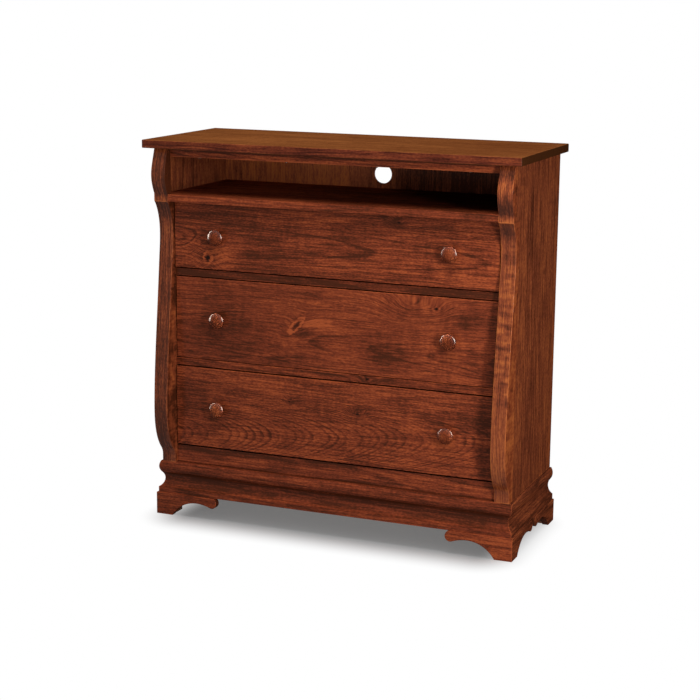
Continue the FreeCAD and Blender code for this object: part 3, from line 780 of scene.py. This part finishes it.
        # Painted shade: the long edge faces in narrow gaps go black
        core = sheet.math("MAXIMUM", sheet.ramp(sidewise, *GAP_SHADE_FACING, 0.0, board.seam), marks.core)
        stave_tone = sheet.math("MULTIPLY_ADD", staves["Tone"], board.stave_tone, board.tone)
        tone = sheet.total(stave_tone, sheet.ramp(lengthwise, *END_FACING, 0.0, self.end_tone), marks.tone)
        log = sheet.vector("MULTIPLY", staves["Vector"], (1.0, 1.0, board.depth))
        figure = sheet.placed(effects["wood_figure"], {
            "Vector": log, "Seed": board.seed, "Lift": marks.lift, "Rings": board.rings,
            "Ripple": board.ripple, "Heart": board.heart, "Pith": board.pith, "Lean": board.lean,
            "Sway": board.sway, "Waver": board.waver,
        })
        stain = sheet.placed(effects["stain_colour"], {
            **figure, "Tone": tone, "Core": core, "Joint": staves["Joint"], "Edge": edge,
            "Ring Weight": self.ring_weight * board.lines, "Fibre Weight": self.fibre_weight * board.lines,
            "Cloud Weight": self.cloud_weight, "Curl Weight": sheet.math("MULTIPLY", broad, board.curl),
            "Dash Weight": self.dash_weight, "Gloss": self.gloss,
            **self.tints(sheet, broad, lengthwise), "Char": self.char,
        })
        bump = sheet.node("ShaderNodeBump", {
            "Height": stain["Height"], "Strength": 1.0, "Distance": self.relief,
        }).outputs[0]
        shader = sheet.node("ShaderNodeBsdfPrincipled", {
            "Base Color": stain["Colour"], "Roughness": stain["Roughness"], "Normal": bump,
            "Specular IOR Level": self.specular, "Coat Weight": self.sheen(sheet, normal),
            "Coat Roughness": self.gloss / 2,
        }).outputs[0]
        sheet.node("ShaderNodeOutputMaterial", {"Surface": shader})
        return material


@dataclass(frozen=True)
class PlatedSteel:
    """Plated rolled steel, faintly streaked along the roll.

    Attributes:
        name: its material's name.
        pale: its colour where it is brightest.
        dull: its colour where it is dullest.
        streak_waves: waves of the streaks to a metre along each axis.
        spangle_waves: waves of the mottling to a metre along each axis.
        mottling: the noise levels of the dullest and the brightest parts.
        roughness: how rough the dullest and the brightest parts are.
    """

    name: str
    pale: Colour
    dull: Colour
    streak_waves: Triple = (900.0, 8.0, 900.0)
    spangle_waves: Triple = (120.0, 120.0, 120.0)
    mottling: Tuple[float, float] = (-0.3, 0.3)
    roughness: Tuple[float, float] = (0.42, 0.28)

    def material(self) -> bpy.types.Material:
        """Makes the one material that every piece of this steel wears.

        Returns:
            The new material.
        """
        material = bpy.data.materials.new(self.name)
        sheet = Sheet.blank(material)
        seen = sheet.node("ShaderNodeTexCoord", {}).outputs["Object"]
        streak = sheet.noise(seen, self.streak_waves)
        mottle = sheet.math("ADD", streak, sheet.noise(seen, self.spangle_waves))
        shader = sheet.node("ShaderNodeBsdfPrincipled", {
            "Base Color": sheet.blend(sheet.ramp(mottle, *self.mottling), self.dull, self.pale),
            "Roughness": sheet.ramp(mottle, *self.mottling, *self.roughness),
            "Metallic": 1.0,
        }).outputs[0]
        sheet.node("ShaderNodeOutputMaterial", {"Surface": shader})
        return material


class Reach(Enum):
    """What a lamp lights."""

    ALL = "chest and floor"
    CHEST = "chest alone"
    KNOBS = "knobs alone"


@dataclass(frozen=True)
class Lamp:
    """One soft box with what it lights and whether it shows in gloss.

    Attributes:
        name: what it is called.
        place: where it hangs.
        target: the point it faces.
        size: its width and height in metres.
        power: its power in watts.
        reach: what it lights.
        mirrored: whether polished things show it.
        shining: whether it lights dull things too.
        tint: the colour of its light.
    """

    name: str
    place: Triple
    target: Triple
    size: Tuple[float, float]
    power: float
    reach: Reach
    mirrored: bool = True
    shining: bool = True
    tint: Triple = (1.0, 1.0, 1.0)

    def hang(self, receivers: Mapping[Reach, bpy.types.Collection]) -> None:
        """Adds the lamp to the scene.

        Args:
            receivers: what the lamps of each reach light.
        """
        data = bpy.data.lights.new(self.name, "AREA")
        data.shape = "RECTANGLE"
        data.size, data.size_y = self.size
        data.energy = self.power
        data.color = self.tint
        lamp = bpy.data.objects.new(self.name, data)
        bpy.context.scene.collection.objects.link(lamp)
        lamp.location = self.place
        lamp.rotation_euler = (Vector(self.target) - Vector(self.place)).to_track_quat("-Z", "Y").to_euler()
        lamp.visible_glossy = self.mirrored
        lamp.visible_diffuse = self.shining
        lamp.light_linking.receiver_collection = receivers.get(self.reach)


# Warm light in the gloss of the knobs, and white
GLINT_TINT = (1.0, 0.84, 0.72)
WHITE = (1.0, 1.0, 1.0, 1.0)


@dataclass(frozen=True)
class Studio:
    """A plain pale floor, soft lamps and the camera.

    Attributes:
        lens: the camera's focal length, in millimetres.
        sensor: the width of its sensor, in millimetres.
        yaw: how far round to the right it stands, in degrees.
        pitch: how far down it looks, in degrees.
        roll: how far it leans, in degrees.
        eye: where it stands.
        floor_reach: how far the floor goes each way, in metres.
        floor_white: the floor's colour near the chest.
        floor_glow: how much light of its own the floor has where it is seen directly.
        shaded_half: half the size of the part of the floor that shows all of its shadow.
        shade_fade: how far outside that part the shadow is gone, in metres.
        room_light: how strongly the white room lights the chest.
        lamps: the soft boxes.
    """

    lens: float = 87.84
    sensor: float = 36.0
    yaw: float = 22.35
    pitch: float = 12.12
    roll: float = 0.51
    eye: Triple = (1.882, -4.603, 1.592)
    floor_reach: float = 9.0
    floor_white: Colour = (0.86, 0.86, 0.86, 1.0)
    floor_glow: float = 0.15
    shaded_half: Triple = (0.455, 0.17, 0.0)
    shade_fade: float = 0.17
    room_light: float = 0.2
    lamps: Tuple[Lamp, ...] = (
        Lamp("key", (2.25, -1.75, 1.2), (0.0, 0.0, 0.65), (0.4, 1.1), 55.0, Reach.CHEST),
        Lamp("front", (1.4, -4.4, 0.95), (0.0, 0.0, 0.6), (1.8, 1.2), 26.0, Reach.CHEST, mirrored=False),
        Lamp("steep", (0.5, -1.35, 3.0), (0.1, -0.2, 0.5), (1.5, 0.7), 50.0, Reach.CHEST, mirrored=False),
        Lamp("overhead", (0.2, 0.2, 3.3), (0.0, 0.0, 0.5), (2.4, 1.8), 42.0, Reach.ALL, mirrored=False),
        Lamp(
            "left_glint", (-3.0, -0.8, 1.6), (0.0, -0.2, 0.6), (0.5, 3.2), 200.0, Reach.KNOBS,
            shining=False, tint=GLINT_TINT,
        ),
        Lamp(
            "right_glint", (2.6, -0.9, 1.5), (0.0, -0.2, 0.6), (0.75, 3.0), 200.0, Reach.KNOBS,
            shining=False, tint=GLINT_TINT,
        ),
    )

    def camera(self) -> None:
        """Stands the camera where the chest was seen from."""
        yaw, pitch, roll = (math.radians(angle) for angle in (self.yaw, self.pitch, self.roll))
        right = Vector((math.cos(yaw), math.sin(yaw), 0.0))
        ahead = Vector((-math.sin(yaw) * math.cos(pitch), math.cos(yaw) * math.cos(pitch), -math.sin(pitch)))
        above = right.cross(ahead)
        turned_right = right * math.cos(roll) + above * math.sin(roll)
        turned_above = turned_right.cross(ahead)
        data = bpy.data.cameras.new("camera")
        data.lens = self.lens
        data.sensor_width = self.sensor
        camera = bpy.data.objects.new("camera", data)
        bpy.context.scene.collection.objects.link(camera)
        turn = Matrix((turned_right, turned_above, -ahead)).transposed()
        camera.matrix_world = Matrix.Translation(self.eye) @ turn.to_4x4()
        bpy.context.scene.camera = camera

    def seen_directly(self, sheet: Sheet) -> Socket:
        """Tells the rays of the camera, of gloss and of glass from those that light the chest.

        Args:
            sheet: the nodes of the material or world that asks.

        Returns:
            One for the former and zero for the latter.
        """
        path = sheet.node("ShaderNodeLightPath", {}).outputs
        seen = sheet.math("MAXIMUM", path["Is Camera Ray"], path["Is Glossy Ray"])
        return sheet.math("MAXIMUM", seen, path["Is Transmission Ray"])

    def room(self) -> None:
        """A white room that lights the chest softly."""
        world = bpy.data.worlds.new("room")
        bpy.context.scene.world = world
        sheet = Sheet.blank(world)
        level = sheet.ramp(self.seen_directly(sheet), 0.0, 1.0, self.room_light, 1.0)
        light = sheet.node("ShaderNodeBackground", {"Color": WHITE, "Strength": level}).outputs[0]
        sheet.node("ShaderNodeOutputWorld", {"Surface": light})

    def floor(self) -> bpy.types.Object:
        """Lays a pale floor that fades into the white room away from the chest.

        Returns:
            The floor.
        """
        bpy.ops.mesh.primitive_plane_add(size=2 * self.floor_reach)
        floor = bpy.context.object
        floor.name = "floor"
        material = bpy.data.materials.new("pale_floor")
        sheet = Sheet.blank(material)
        spot = sheet.node("ShaderNodeTexCoord", {}).outputs["Object"]
        core = sheet.vector("SUBTRACT", sheet.vector("ABSOLUTE", spot), self.shaded_half)
        outside = sheet.vector("MAXIMUM", core, (0.0, 0.0, 0.0))
        far = sheet.node("ShaderNodeVectorMath", {0: outside}, operation="LENGTH").outputs["Value"]
        fade = sheet.math("MULTIPLY", sheet.ramp(far, 0.0, self.shade_fade), self.seen_directly(sheet))
        paper = sheet.node("ShaderNodeBsdfDiffuse", {"Color": self.floor_white}).outputs[0]
        glow = sheet.math("MULTIPLY", self.seen_directly(sheet), self.floor_glow)
        glow = sheet.node("ShaderNodeEmission", {"Strength": glow}).outputs[0]
        lit = sheet.node("ShaderNodeAddShader", {0: paper, 1: glow}).outputs[0]
        white = sheet.node("ShaderNodeEmission", {"Strength": 1.0}).outputs[0]
        surface = sheet.node("ShaderNodeMixShader", {0: fade, 1: lit, 2: white}).outputs[0]
        sheet.node("ShaderNodeOutputMaterial", {"Surface": surface})
        floor.data.materials.append(material)
        return floor

    def build(self) -> None:
        """Sets up the whole studio."""
        self.camera()
        self.room()
        receivers = {reach: bpy.data.collections.new(reach.value) for reach in (Reach.CHEST, Reach.KNOBS)}
        receivers[Reach.CHEST].objects.link(self.floor())
        receivers[Reach.CHEST].collection_objects[0].light_linking.link_state = "EXCLUDE"
        for piece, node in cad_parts.items():
            if piece.endswith("_knobs"):
                receivers[Reach.KNOBS].objects.link(node)
        for lamp in self.lamps:
            lamp.hang(receivers)
        bpy.context.scene.view_settings.view_transform = "Standard"


SHOW_WOOD = WoodFinish(
    name="stained_wood",
    dark=(0.052, 0.0125, 0.0047, 1.0),
    middle=(0.150, 0.0285, 0.0112, 1.0),
    light=(0.310, 0.066, 0.0205, 1.0),
)
RIM_WOOD = replace(
    SHOW_WOOD,
    name="stained_wood_rim",
    dark=(0.036, 0.0070, 0.0034, 1.0),
    middle=(0.100, 0.0195, 0.0085, 1.0),
    light=(0.200, 0.046, 0.0150, 1.0),
)
END_WOOD = replace(
    RIM_WOOD,
    name="stained_wood_end",
    dark=(0.041, 0.0130, 0.0042, 1.0),
    middle=(0.058, 0.0190, 0.0060, 1.0),
    light=(0.090, 0.0290, 0.0090, 1.0),
)
# The top panel's stain with a painted sheen: more golden than the rest, in place of the reflection on its
# upper face
TOP_WOOD_WITH_PAINTED_SHEEN = replace(
    SHOW_WOOD,
    name="stained_wood_top_painted_sheen",
    dark=(0.080, 0.0225, 0.0062, 1.0),
    middle=(0.130, 0.0410, 0.0115, 1.0),
    light=(0.195, 0.0660, 0.0180, 1.0),
    rim=RIM_WOOD,
    ends=END_WOOD,
)
SIDE_WOOD = replace(
    SHOW_WOOD,
    name="stained_wood_side",
    dark=(0.055, 0.0140, 0.0060, 1.0),
    middle=(0.148, 0.0345, 0.0138, 1.0),
    light=(0.310, 0.081, 0.0225, 1.0),
)
POST_WOOD = replace(
    SHOW_WOOD,
    name="stained_wood_post",
    middle=(0.172, 0.037, 0.0130, 1.0),
    light=(0.350, 0.095, 0.0240, 1.0),
    coat=0.22,
)
BACK_VENEER = replace(
    SIDE_WOOD,
    name="back_plywood",
    middle=(0.185, 0.0460, 0.0190, 1.0),
    ring_weight=0.2,
    cloud_weight=0.8,
)
KNOB_WOOD = WoodFinish(
    name="knob_wood",
    dark=(0.044, 0.0080, 0.0030, 1.0),
    middle=(0.095, 0.0190, 0.0066, 1.0),
    light=(0.220, 0.0560, 0.0190, 1.0),
    ring_weight=0.3,
    fibre_weight=0.5,
    cloud_weight=1.5,
    dash_weight=0.1,
    gloss=0.26,
    specular=0.03,
    coat=1.0,
    domed=True,
    relief=0.000004,
    end_tone=0.0,
)
MAPLE = WoodFinish(
    name="drawer_maple",
    dark=(0.42, 0.27, 0.14, 1.0),
    middle=(0.58, 0.41, 0.24, 1.0),
    light=(0.70, 0.53, 0.34, 1.0),
    char=(0.20, 0.11, 0.05, 1.0),
    ring_weight=0.3,
    cloud_weight=0.6,
    specular=0.12,
)
PLAIN_WOOD = replace(
    MAPLE,
    name="frame_wood",
    dark=(0.28, 0.17, 0.085, 1.0),
    middle=(0.42, 0.27, 0.14, 1.0),
    light=(0.53, 0.36, 0.20, 1.0),
    gloss=0.6,
    specular=0.05,
)
# A darker copy of the frame wood for the pieces behind the base
HIDDEN_WOOD = replace(
    PLAIN_WOOD,
    name="frame_wood_dark",
    dark=(0.050, 0.018, 0.009, 1.0),
    middle=(0.085, 0.032, 0.016, 1.0),
    light=(0.130, 0.052, 0.026, 1.0),
)

ZINC_STEEL = PlatedSteel(
    name="zinc_steel",
    pale=(0.62, 0.63, 0.65, 1.0),
    dull=(0.42, 0.43, 0.45, 1.0),
)
BRONZED_STEEL = PlatedSteel(
    name="bronzed_steel",
    pale=(0.060, 0.045, 0.034, 1.0),
    dull=(0.030, 0.022, 0.017, 1.0),
)

Plan = Dict[str, Tuple[WoodFinish, Board]]


@dataclass
class Assembly:
    """A sub-assembly of wooden pieces, each with a finish and a cut of its own.

    Attributes:
        effects: the shared node groups.
    """

    effects: Effects

    def plan(self) -> Plan:
        """Says what each wooden piece is made of."""
        raise NotImplementedError

    def dress(self) -> None:
        """Gives every wooden piece of the plan its board."""
        for piece, (finish, board) in self.plan().items():
            wear(piece, finish.material(piece, board, self.effects))


# How the posts and the scroll brackets over them are cut, whose figure changes little where they curve
POST_CUT = Board(Grain.UPRIGHT_FRONT, 0.0, heart=0.4, pith=0.02, lean=0.0, depth=0.15)


@dataclass
class TopAndBay(Assembly):
    """The top panel, the open bay under it and the scroll brackets beside the bay.

    Attributes:
        top_stave: the width of the top panel's staves, in metres.
        shelf_stave: the width of the shelf's staves, in metres.
        veneer_width: the width of each leaf of veneer on the back, in metres.
        right_scroll_shades: painted shade and painted highlights on the right scroll bracket's curve.
        left_scroll_shades: those of the left one, with a dark line of painted shade beside the bay.
    """

    top_stave: float = 0.117
    shelf_stave: float = 0.11
    veneer_width: float = 0.4
    # Painted shade and highlights: shadow under the top, a highlight band, a shaded underside, a lit foot
    right_scroll_shades: Tuple[Patch, ...] = (
        Patch(0.060, 0.0, 0.030, 0.10, -0.16, 0.4, wraps=False),
        Patch(0.020, 0.0, 0.022, 0.10, 0.16, 0.4, wraps=False),
        Patch(-0.038, 0.006, 0.034, 0.05, -0.36, 0.8, wraps=False),
        Patch(-0.073, 0.0, 0.012, 0.10, 0.24, 0.4, wraps=False),
    )
    # Painted shade and highlights, and a line of painted shade beside the bay
    left_scroll_shades: Tuple[Patch, ...] = (
        Patch(0.060, 0.0, 0.030, 0.10, 0.06, 0.4, wraps=False),
        Patch(0.020, 0.0, 0.040, 0.10, -0.20, 0.8, wraps=False),
        Patch(-0.045, 0.006, 0.034, 0.05, -0.16, 0.8, wraps=False),
        Patch(-0.073, 0.0, 0.012, 0.10, 0.24, 0.4, wraps=False),
        Patch(0.0, 0.0225, 0.30, 0.008, -0.42, 0.4),
    )

    def plan(self) -> Plan:
        """Says what each wooden piece is made of.

        Returns:
            The finish and the cut of each piece.
        """
        return {
            "top_panel": (TOP_WOOD_WITH_PAINTED_SHEEN, Board(
                Grain.LYING, 1.0, stave=self.top_stave, stave_tone=0.1,
                patches=(Patch(-0.42, 0.0, 0.35, 0.4, 0.14), Patch(0.42, 0.0, 0.30, 0.4, -0.16)),
            )),
            "media_shelf": (SHOW_WOOD, Board(
                Grain.LYING, 2.0, stave=self.shelf_stave, tone=-0.12,
                # Painted light on the shelf's left and painted shadow on its right, as the light falls into
                # the bay
                patches=(Patch(-0.35, 0.0, 0.35, 0.4, 0.3), Patch(0.35, 0.06, 0.30, 0.3, -0.42)),
            )),
            "top_front_rail": (SHOW_WOOD, Board(
                Grain.SIDE_TO_SIDE, 9.0, tone=0.16,
                # Painted shadow along the rail's top edge, under the overhang of the top panel
                patches=(Patch(0.0, 0.0128, 2.0, 0.0115, -0.95, 0.3),),
            )),
            "top_back_rail": (PLAIN_WOOD, Board(Grain.SIDE_TO_SIDE, 31.0)),
            "left_scroll_bracket": (POST_WOOD, replace(
                POST_CUT, seed=7.0, tone=-0.08, patches=self.left_scroll_shades,
            )),
            "right_scroll_bracket": (POST_WOOD, replace(
                POST_CUT, seed=8.0, tone=-0.05, patches=self.right_scroll_shades,
            )),
            "back_panel": (BACK_VENEER, Board(
                Grain.UPRIGHT_FRONT, 22.0, stave=self.veneer_width, curl=0.2,
                # Painted light on the back's left and painted shadow on its right, as the light falls into
                # the bay
                patches=(Patch(0.41, -0.28, 0.2, 0.35, 0.40), Patch(0.41, 0.28, 0.2, 0.35, -0.36)),
            )),
        }


@dataclass
class Case(Assembly):
    """The sides, the S-shaped front posts, the drawer rails and the plain wood inside.

    Attributes:
        side_stave: the width of the side panels' staves, in metres.
        bottom_stave: the width of the case bottom's staves, in metres.
    """

    side_stave: float = 0.13
    bottom_stave: float = 0.1

    def plan(self) -> Plan:
        """Says what each wooden piece is made of.

        Returns:
            The finish and the cut of each piece.
        """
        level = Grain.SIDE_TO_SIDE
        return {
            "left_side_panel": (SIDE_WOOD, Board(
                Grain.UPRIGHT_SIDE, 3.0, stave=self.side_stave, stave_tone=0.28,
            )),
            "right_side_panel": (SIDE_WOOD, Board(
                Grain.UPRIGHT_SIDE, 4.0, stave=self.side_stave, stave_tone=0.28,
                knots=(Knot(0.243, -0.075, 0.0025, 2.5), Knot(0.138, 0.078, 0.003, 2.0)),
                patches=(Patch(0.0, 0.19, 0.8, 0.03, 0.16),),
            )),
            "left_front_post": (POST_WOOD, replace(
                # Tone below zero: painted shade on the left post; worn above one: a stronger painted
                # highlight on its arrises
                POST_CUT, seed=5.0, tone=-0.16, worn=1.6,
                patches=(
                    # Painted shade at the top of the post, under the scroll bracket's foot
                    Patch(0.376, 0.0, 0.034, 0.10, -0.3, 0.6, wraps=False),
                    Patch(0.22, 0.0, 0.15, 0.2, 0.12),
                    Patch(-0.27, 0.0, 0.12, 0.2, -0.16),
                ),
            )),
            "right_front_post": (POST_WOOD, replace(
                # A strong painted highlight along the right post's arrises
                POST_CUT, seed=6.0, lines=0.65, curl=1.8, worn=2.0,
                patches=(
                    # Painted shade at the top of the post, under the scroll bracket's foot
                    Patch(0.376, 0.004, 0.040, 0.05, -0.42, 1.0, wraps=False),
                    Patch(0.27, 0.0, 0.12, 0.2, -0.12),
                    Patch(-0.2, 0.0, 0.15, 0.2, 0.03),
                ),
            )),
            "lower_drawer_rail": (SHOW_WOOD, Board(
                level, 10.0, seam=0.9, tone=-0.12, knots=(Knot(0.112, 0.002, 0.006),),
            )),
            # Tone well below zero: painted shade, the rail lying in the shadow of the upper drawer's front
            "upper_drawer_rail": (SHOW_WOOD, Board(level, 11.0, seam=0.9, tone=-0.38)),
            "bottom_rail": (SHOW_WOOD, Board(
                level, 12.0, seam=0.9, tone=0.16, worn=0.0,
                patches=(
                    # Painted shadow of the lower drawer on the rail's upper half
                    Patch(-0.33, 0.018, 0.40, 0.016, -0.42, 0.8),
                    Patch(0.2, 0.024, 0.40, 0.008, -0.3, 0.6),
                    # Painted shade along the bottom edge, where the rail meets the moulding
                    Patch(0.0, -0.026, 2.0, 0.004, -0.6, 0.3),
                ),
            )),
            "case_bottom": (PLAIN_WOOD, Board(Grain.LYING, 32.0, stave=self.bottom_stave)),
            "slide_cleats": (PLAIN_WOOD, Board(Grain.FRONT_TO_BACK, 33.0)),
        }


@dataclass
class BracketBase(Assembly):
    """The base moulding and the bracket feet, with the blocks and braces behind them.

    Attributes:
        mitre: the distance across plus the distance back at which the moulding's mitres lie, in metres.
    """

    mitre: float = 0.3755

    def plan(self) -> Plan:
        """Says what each wooden piece is made of.

        Returns:
            The finish and the cut of each piece.
        """
        level, lengthwise = Grain.SIDE_TO_SIDE, Grain.FRONT_TO_BACK
        plan: Plan = {
            "front_base_moulding": (SHOW_WOOD, Board(
                level, 13.0, tone=-0.12, worn=0.0, mitre=self.mitre,
                patches=(
                    # Painted shade in the cove and under the bead, and a painted highlight on the bead
                    Patch(0.0, -0.006, 2.0, 0.024, -0.24, 0.6),
                    Patch(0.0, 0.009, 2.0, 0.008, -0.26, 0.4),
                    Patch(0.0, 0.034, 2.0, 0.011, 0.05, 0.5),
                ),
            )),
            "base_back_rail": (HIDDEN_WOOD, Board(level, 34.0)),
            "rear_foot_braces": (HIDDEN_WOOD, Board(level, 35.0)),
            "foot_glue_blocks": (HIDDEN_WOOD, Board(Grain.UPRIGHT_FRONT, 36.0)),
        }
        # Painted shade on the left front foot and painted light on the right one
        for seed, side, foot_painted_shading in ((14.0, "left", -0.17), (18.0, "right", 0.14)):
            plan[side + "_base_moulding"] = (SIDE_WOOD, Board(lengthwise, seed, worn=0.0, mitre=self.mitre))
            plan[side + "_foot_front_bracket"] = (SHOW_WOOD, Board(level, seed + 1.0, tone=foot_painted_shading))
            plan[side + "_foot_side_bracket"] = (SIDE_WOOD, Board(lengthwise, seed + 2.0))
            plan[side + "_rear_foot_bracket"] = (SIDE_WOOD, Board(lengthwise, seed + 3.0))
        return plan


@dataclass
class Drawer(Assembly):
    """One drawer: its front, its maple box and its turned knobs.

    Attributes:
        name: which drawer it is.
        front: how its front is cut.
    """

    name: str
    front: Board

    def plan(self) -> Plan:
        """Says what each wooden piece is made of.

        Returns:
            The finish and the cut of each piece.
        """
        seed = self.front.seed
        box = self.name + "_drawer_box_"
        return {
            self.name + "_drawer_front": (SHOW_WOOD, self.front),
            self.name + "_drawer_knobs": (KNOB_WOOD, Board(Grain.FRONT_TO_BACK, seed + 0.3)),
            box + "front": (MAPLE, Board(Grain.SIDE_TO_SIDE, seed + 0.4)),
            box + "back": (MAPLE, Board(Grain.SIDE_TO_SIDE, seed + 0.5)),
            box + "left_side": (MAPLE, Board(Grain.FRONT_TO_BACK, seed + 0.6)),
            box + "right_side": (MAPLE, Board(Grain.FRONT_TO_BACK, seed + 0.7)),
            box + "bottom": (MAPLE, Board(Grain.LYING, seed + 0.8)),
        }


DRAWER_FRONTS: Dict[str, Board] = {
    "upper": Board(
        Grain.SIDE_TO_SIDE, 23.0, heart=0.0, pith=0.055, lean=0.02, rings=440.0, waver=0.05, seam=0.8,
        tone=0.02, lines=1.15,
        knots=(Knot(-0.394, -0.063, 0.012, 0.8, swell=1.6, glow=0.9), Knot(0.204, 0.078, 0.004, glow=0.3)),
        patches=(
            Patch(-0.345, -0.050, 0.060, 0.042, 0.42, 1.4),
            Patch(-0.23, -0.046, 0.085, 0.014, -0.26),
            Patch(0.20, 0.074, 0.030, 0.014, -0.25),
            Patch(0.445, 0.001, 0.065, 0.024, -0.20),
            # Painted light over the right end, where the right post's shadow falls
            Patch(0.45, 0.0, 0.12, 0.14, 0.16),
            Patch(0.12, -0.062, 0.42, 0.034, 0.12),
            # Painted shade toward the left end
            Patch(-0.30, 0.02, 0.25, 0.2, -0.10),
        ),
    ),
    "middle": Board(
        Grain.SIDE_TO_SIDE, 24.0, heart=-0.01, pith=0.06, lean=-0.05, rings=220.0, waver=0.05, seam=0.8,
        tone=0.09, lines=0.85,
        knots=(
            Knot(-0.112, 0.004, 0.007, 3.0, tilt=0.8, swell=1.8, dark=0.75, glow=1.0),
            Knot(0.318, 0.087, 0.0055, glow=0.4),
            Knot(0.245, 0.080, 0.009, 2.2, swell=5.0, dark=0.2, glow=0.0),
        ),
        patches=(
            Patch(-0.035, 0.014, 0.085, 0.020, 0.38, 1.4),
            Patch(-0.125, -0.008, 0.022, 0.022, 0.3, 1.2),
            Patch(-0.093, -0.019, 0.036, 0.016, -0.34),
            Patch(-0.064, 0.093, 0.055, 0.020, -0.28),
            Patch(-0.183, -0.103, 0.050, 0.016, -0.34),
            Patch(-0.297, -0.095, 0.070, 0.026, -0.22),
            Patch(0.238, 0.079, 0.070, 0.028, -0.20),
            Patch(0.170, -0.064, 0.075, 0.040, -0.32),
            Patch(0.419, 0.055, 0.050, 0.024, -0.30),
            Patch(0.433, -0.054, 0.040, 0.045, -0.18),
            # Painted shade toward the left end, and the right post's shadow painted on the right end
            Patch(-0.41, 0.0, 0.18, 0.2, -0.17),
            Patch(0.46, 0.0, 0.08, 0.2, -0.08),
            Patch(0.49, 0.0, 0.022, 1.0, -0.16, 0.3),
        ),
    ),
    "lower": Board(
        Grain.SIDE_TO_SIDE, 25.0, heart=-0.155, pith=0.10, lean=0.05, sway=-0.08, rings=760.0, waver=0.02,
        seam=0.8, tone=0.09, lines=1.1,
        knots=(Knot(-0.131, 0.046, 0.0035), Knot(0.085, 0.031, 0.004)),
        patches=(
            Patch(-0.458, 0.034, 0.060, 0.075, -0.22),
            Patch(-0.118, 0.052, 0.040, 0.018, -0.24),
            Patch(0.090, 0.048, 0.040, 0.022, -0.24),
            Patch(0.203, 0.070, 0.090, 0.026, -0.22),
            Patch(0.324, 0.041, 0.070, 0.036, -0.28),
            Patch(0.430, 0.038, 0.060, 0.050, -0.30),
            # Painted shade toward the left end, and the right post's shadow painted on the right end
            Patch(-0.42, -0.02, 0.16, 0.2, -0.22),
            Patch(0.48, 0.0, 0.045, 1.0, -0.3, 0.3),
        ),
    ),
}


def wear(piece: str, material: bpy.types.Material) -> None:
    """Puts a material on all of a CAD node.

    Args:
        piece: the node.
        material: what it wears.
    """
    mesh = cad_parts[piece].data
    mesh.materials.clear()
    mesh.materials.append(material)
    LOG.info("%s wears %s", piece, material.name)


def main() -> None:
    """Dresses the chest and sets up the studio around it."""
    logging.basicConfig(level=logging.INFO, format="%(message)s")
    makers = (wood_figure, knot_mark, stain_light_and_shade_patch, glued_staves, rubbed_and_highlit_edges, stain_colour)
    effects = {maker.__name__: maker() for maker in makers}
    TopAndBay(effects).dress()
    Case(effects).dress()
    BracketBase(effects).dress()
    for name, front in DRAWER_FRONTS.items():
        Drawer(effects, name, front).dress()
    steels = {"channels": ZINC_STEEL.material(), "screws": BRONZED_STEEL.material()}
    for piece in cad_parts:
        for ending, steel in steels.items():
            if piece.endswith(ending):
                wear(piece, steel)
    Studio().build()


if __name__ == "__main__":
    main()
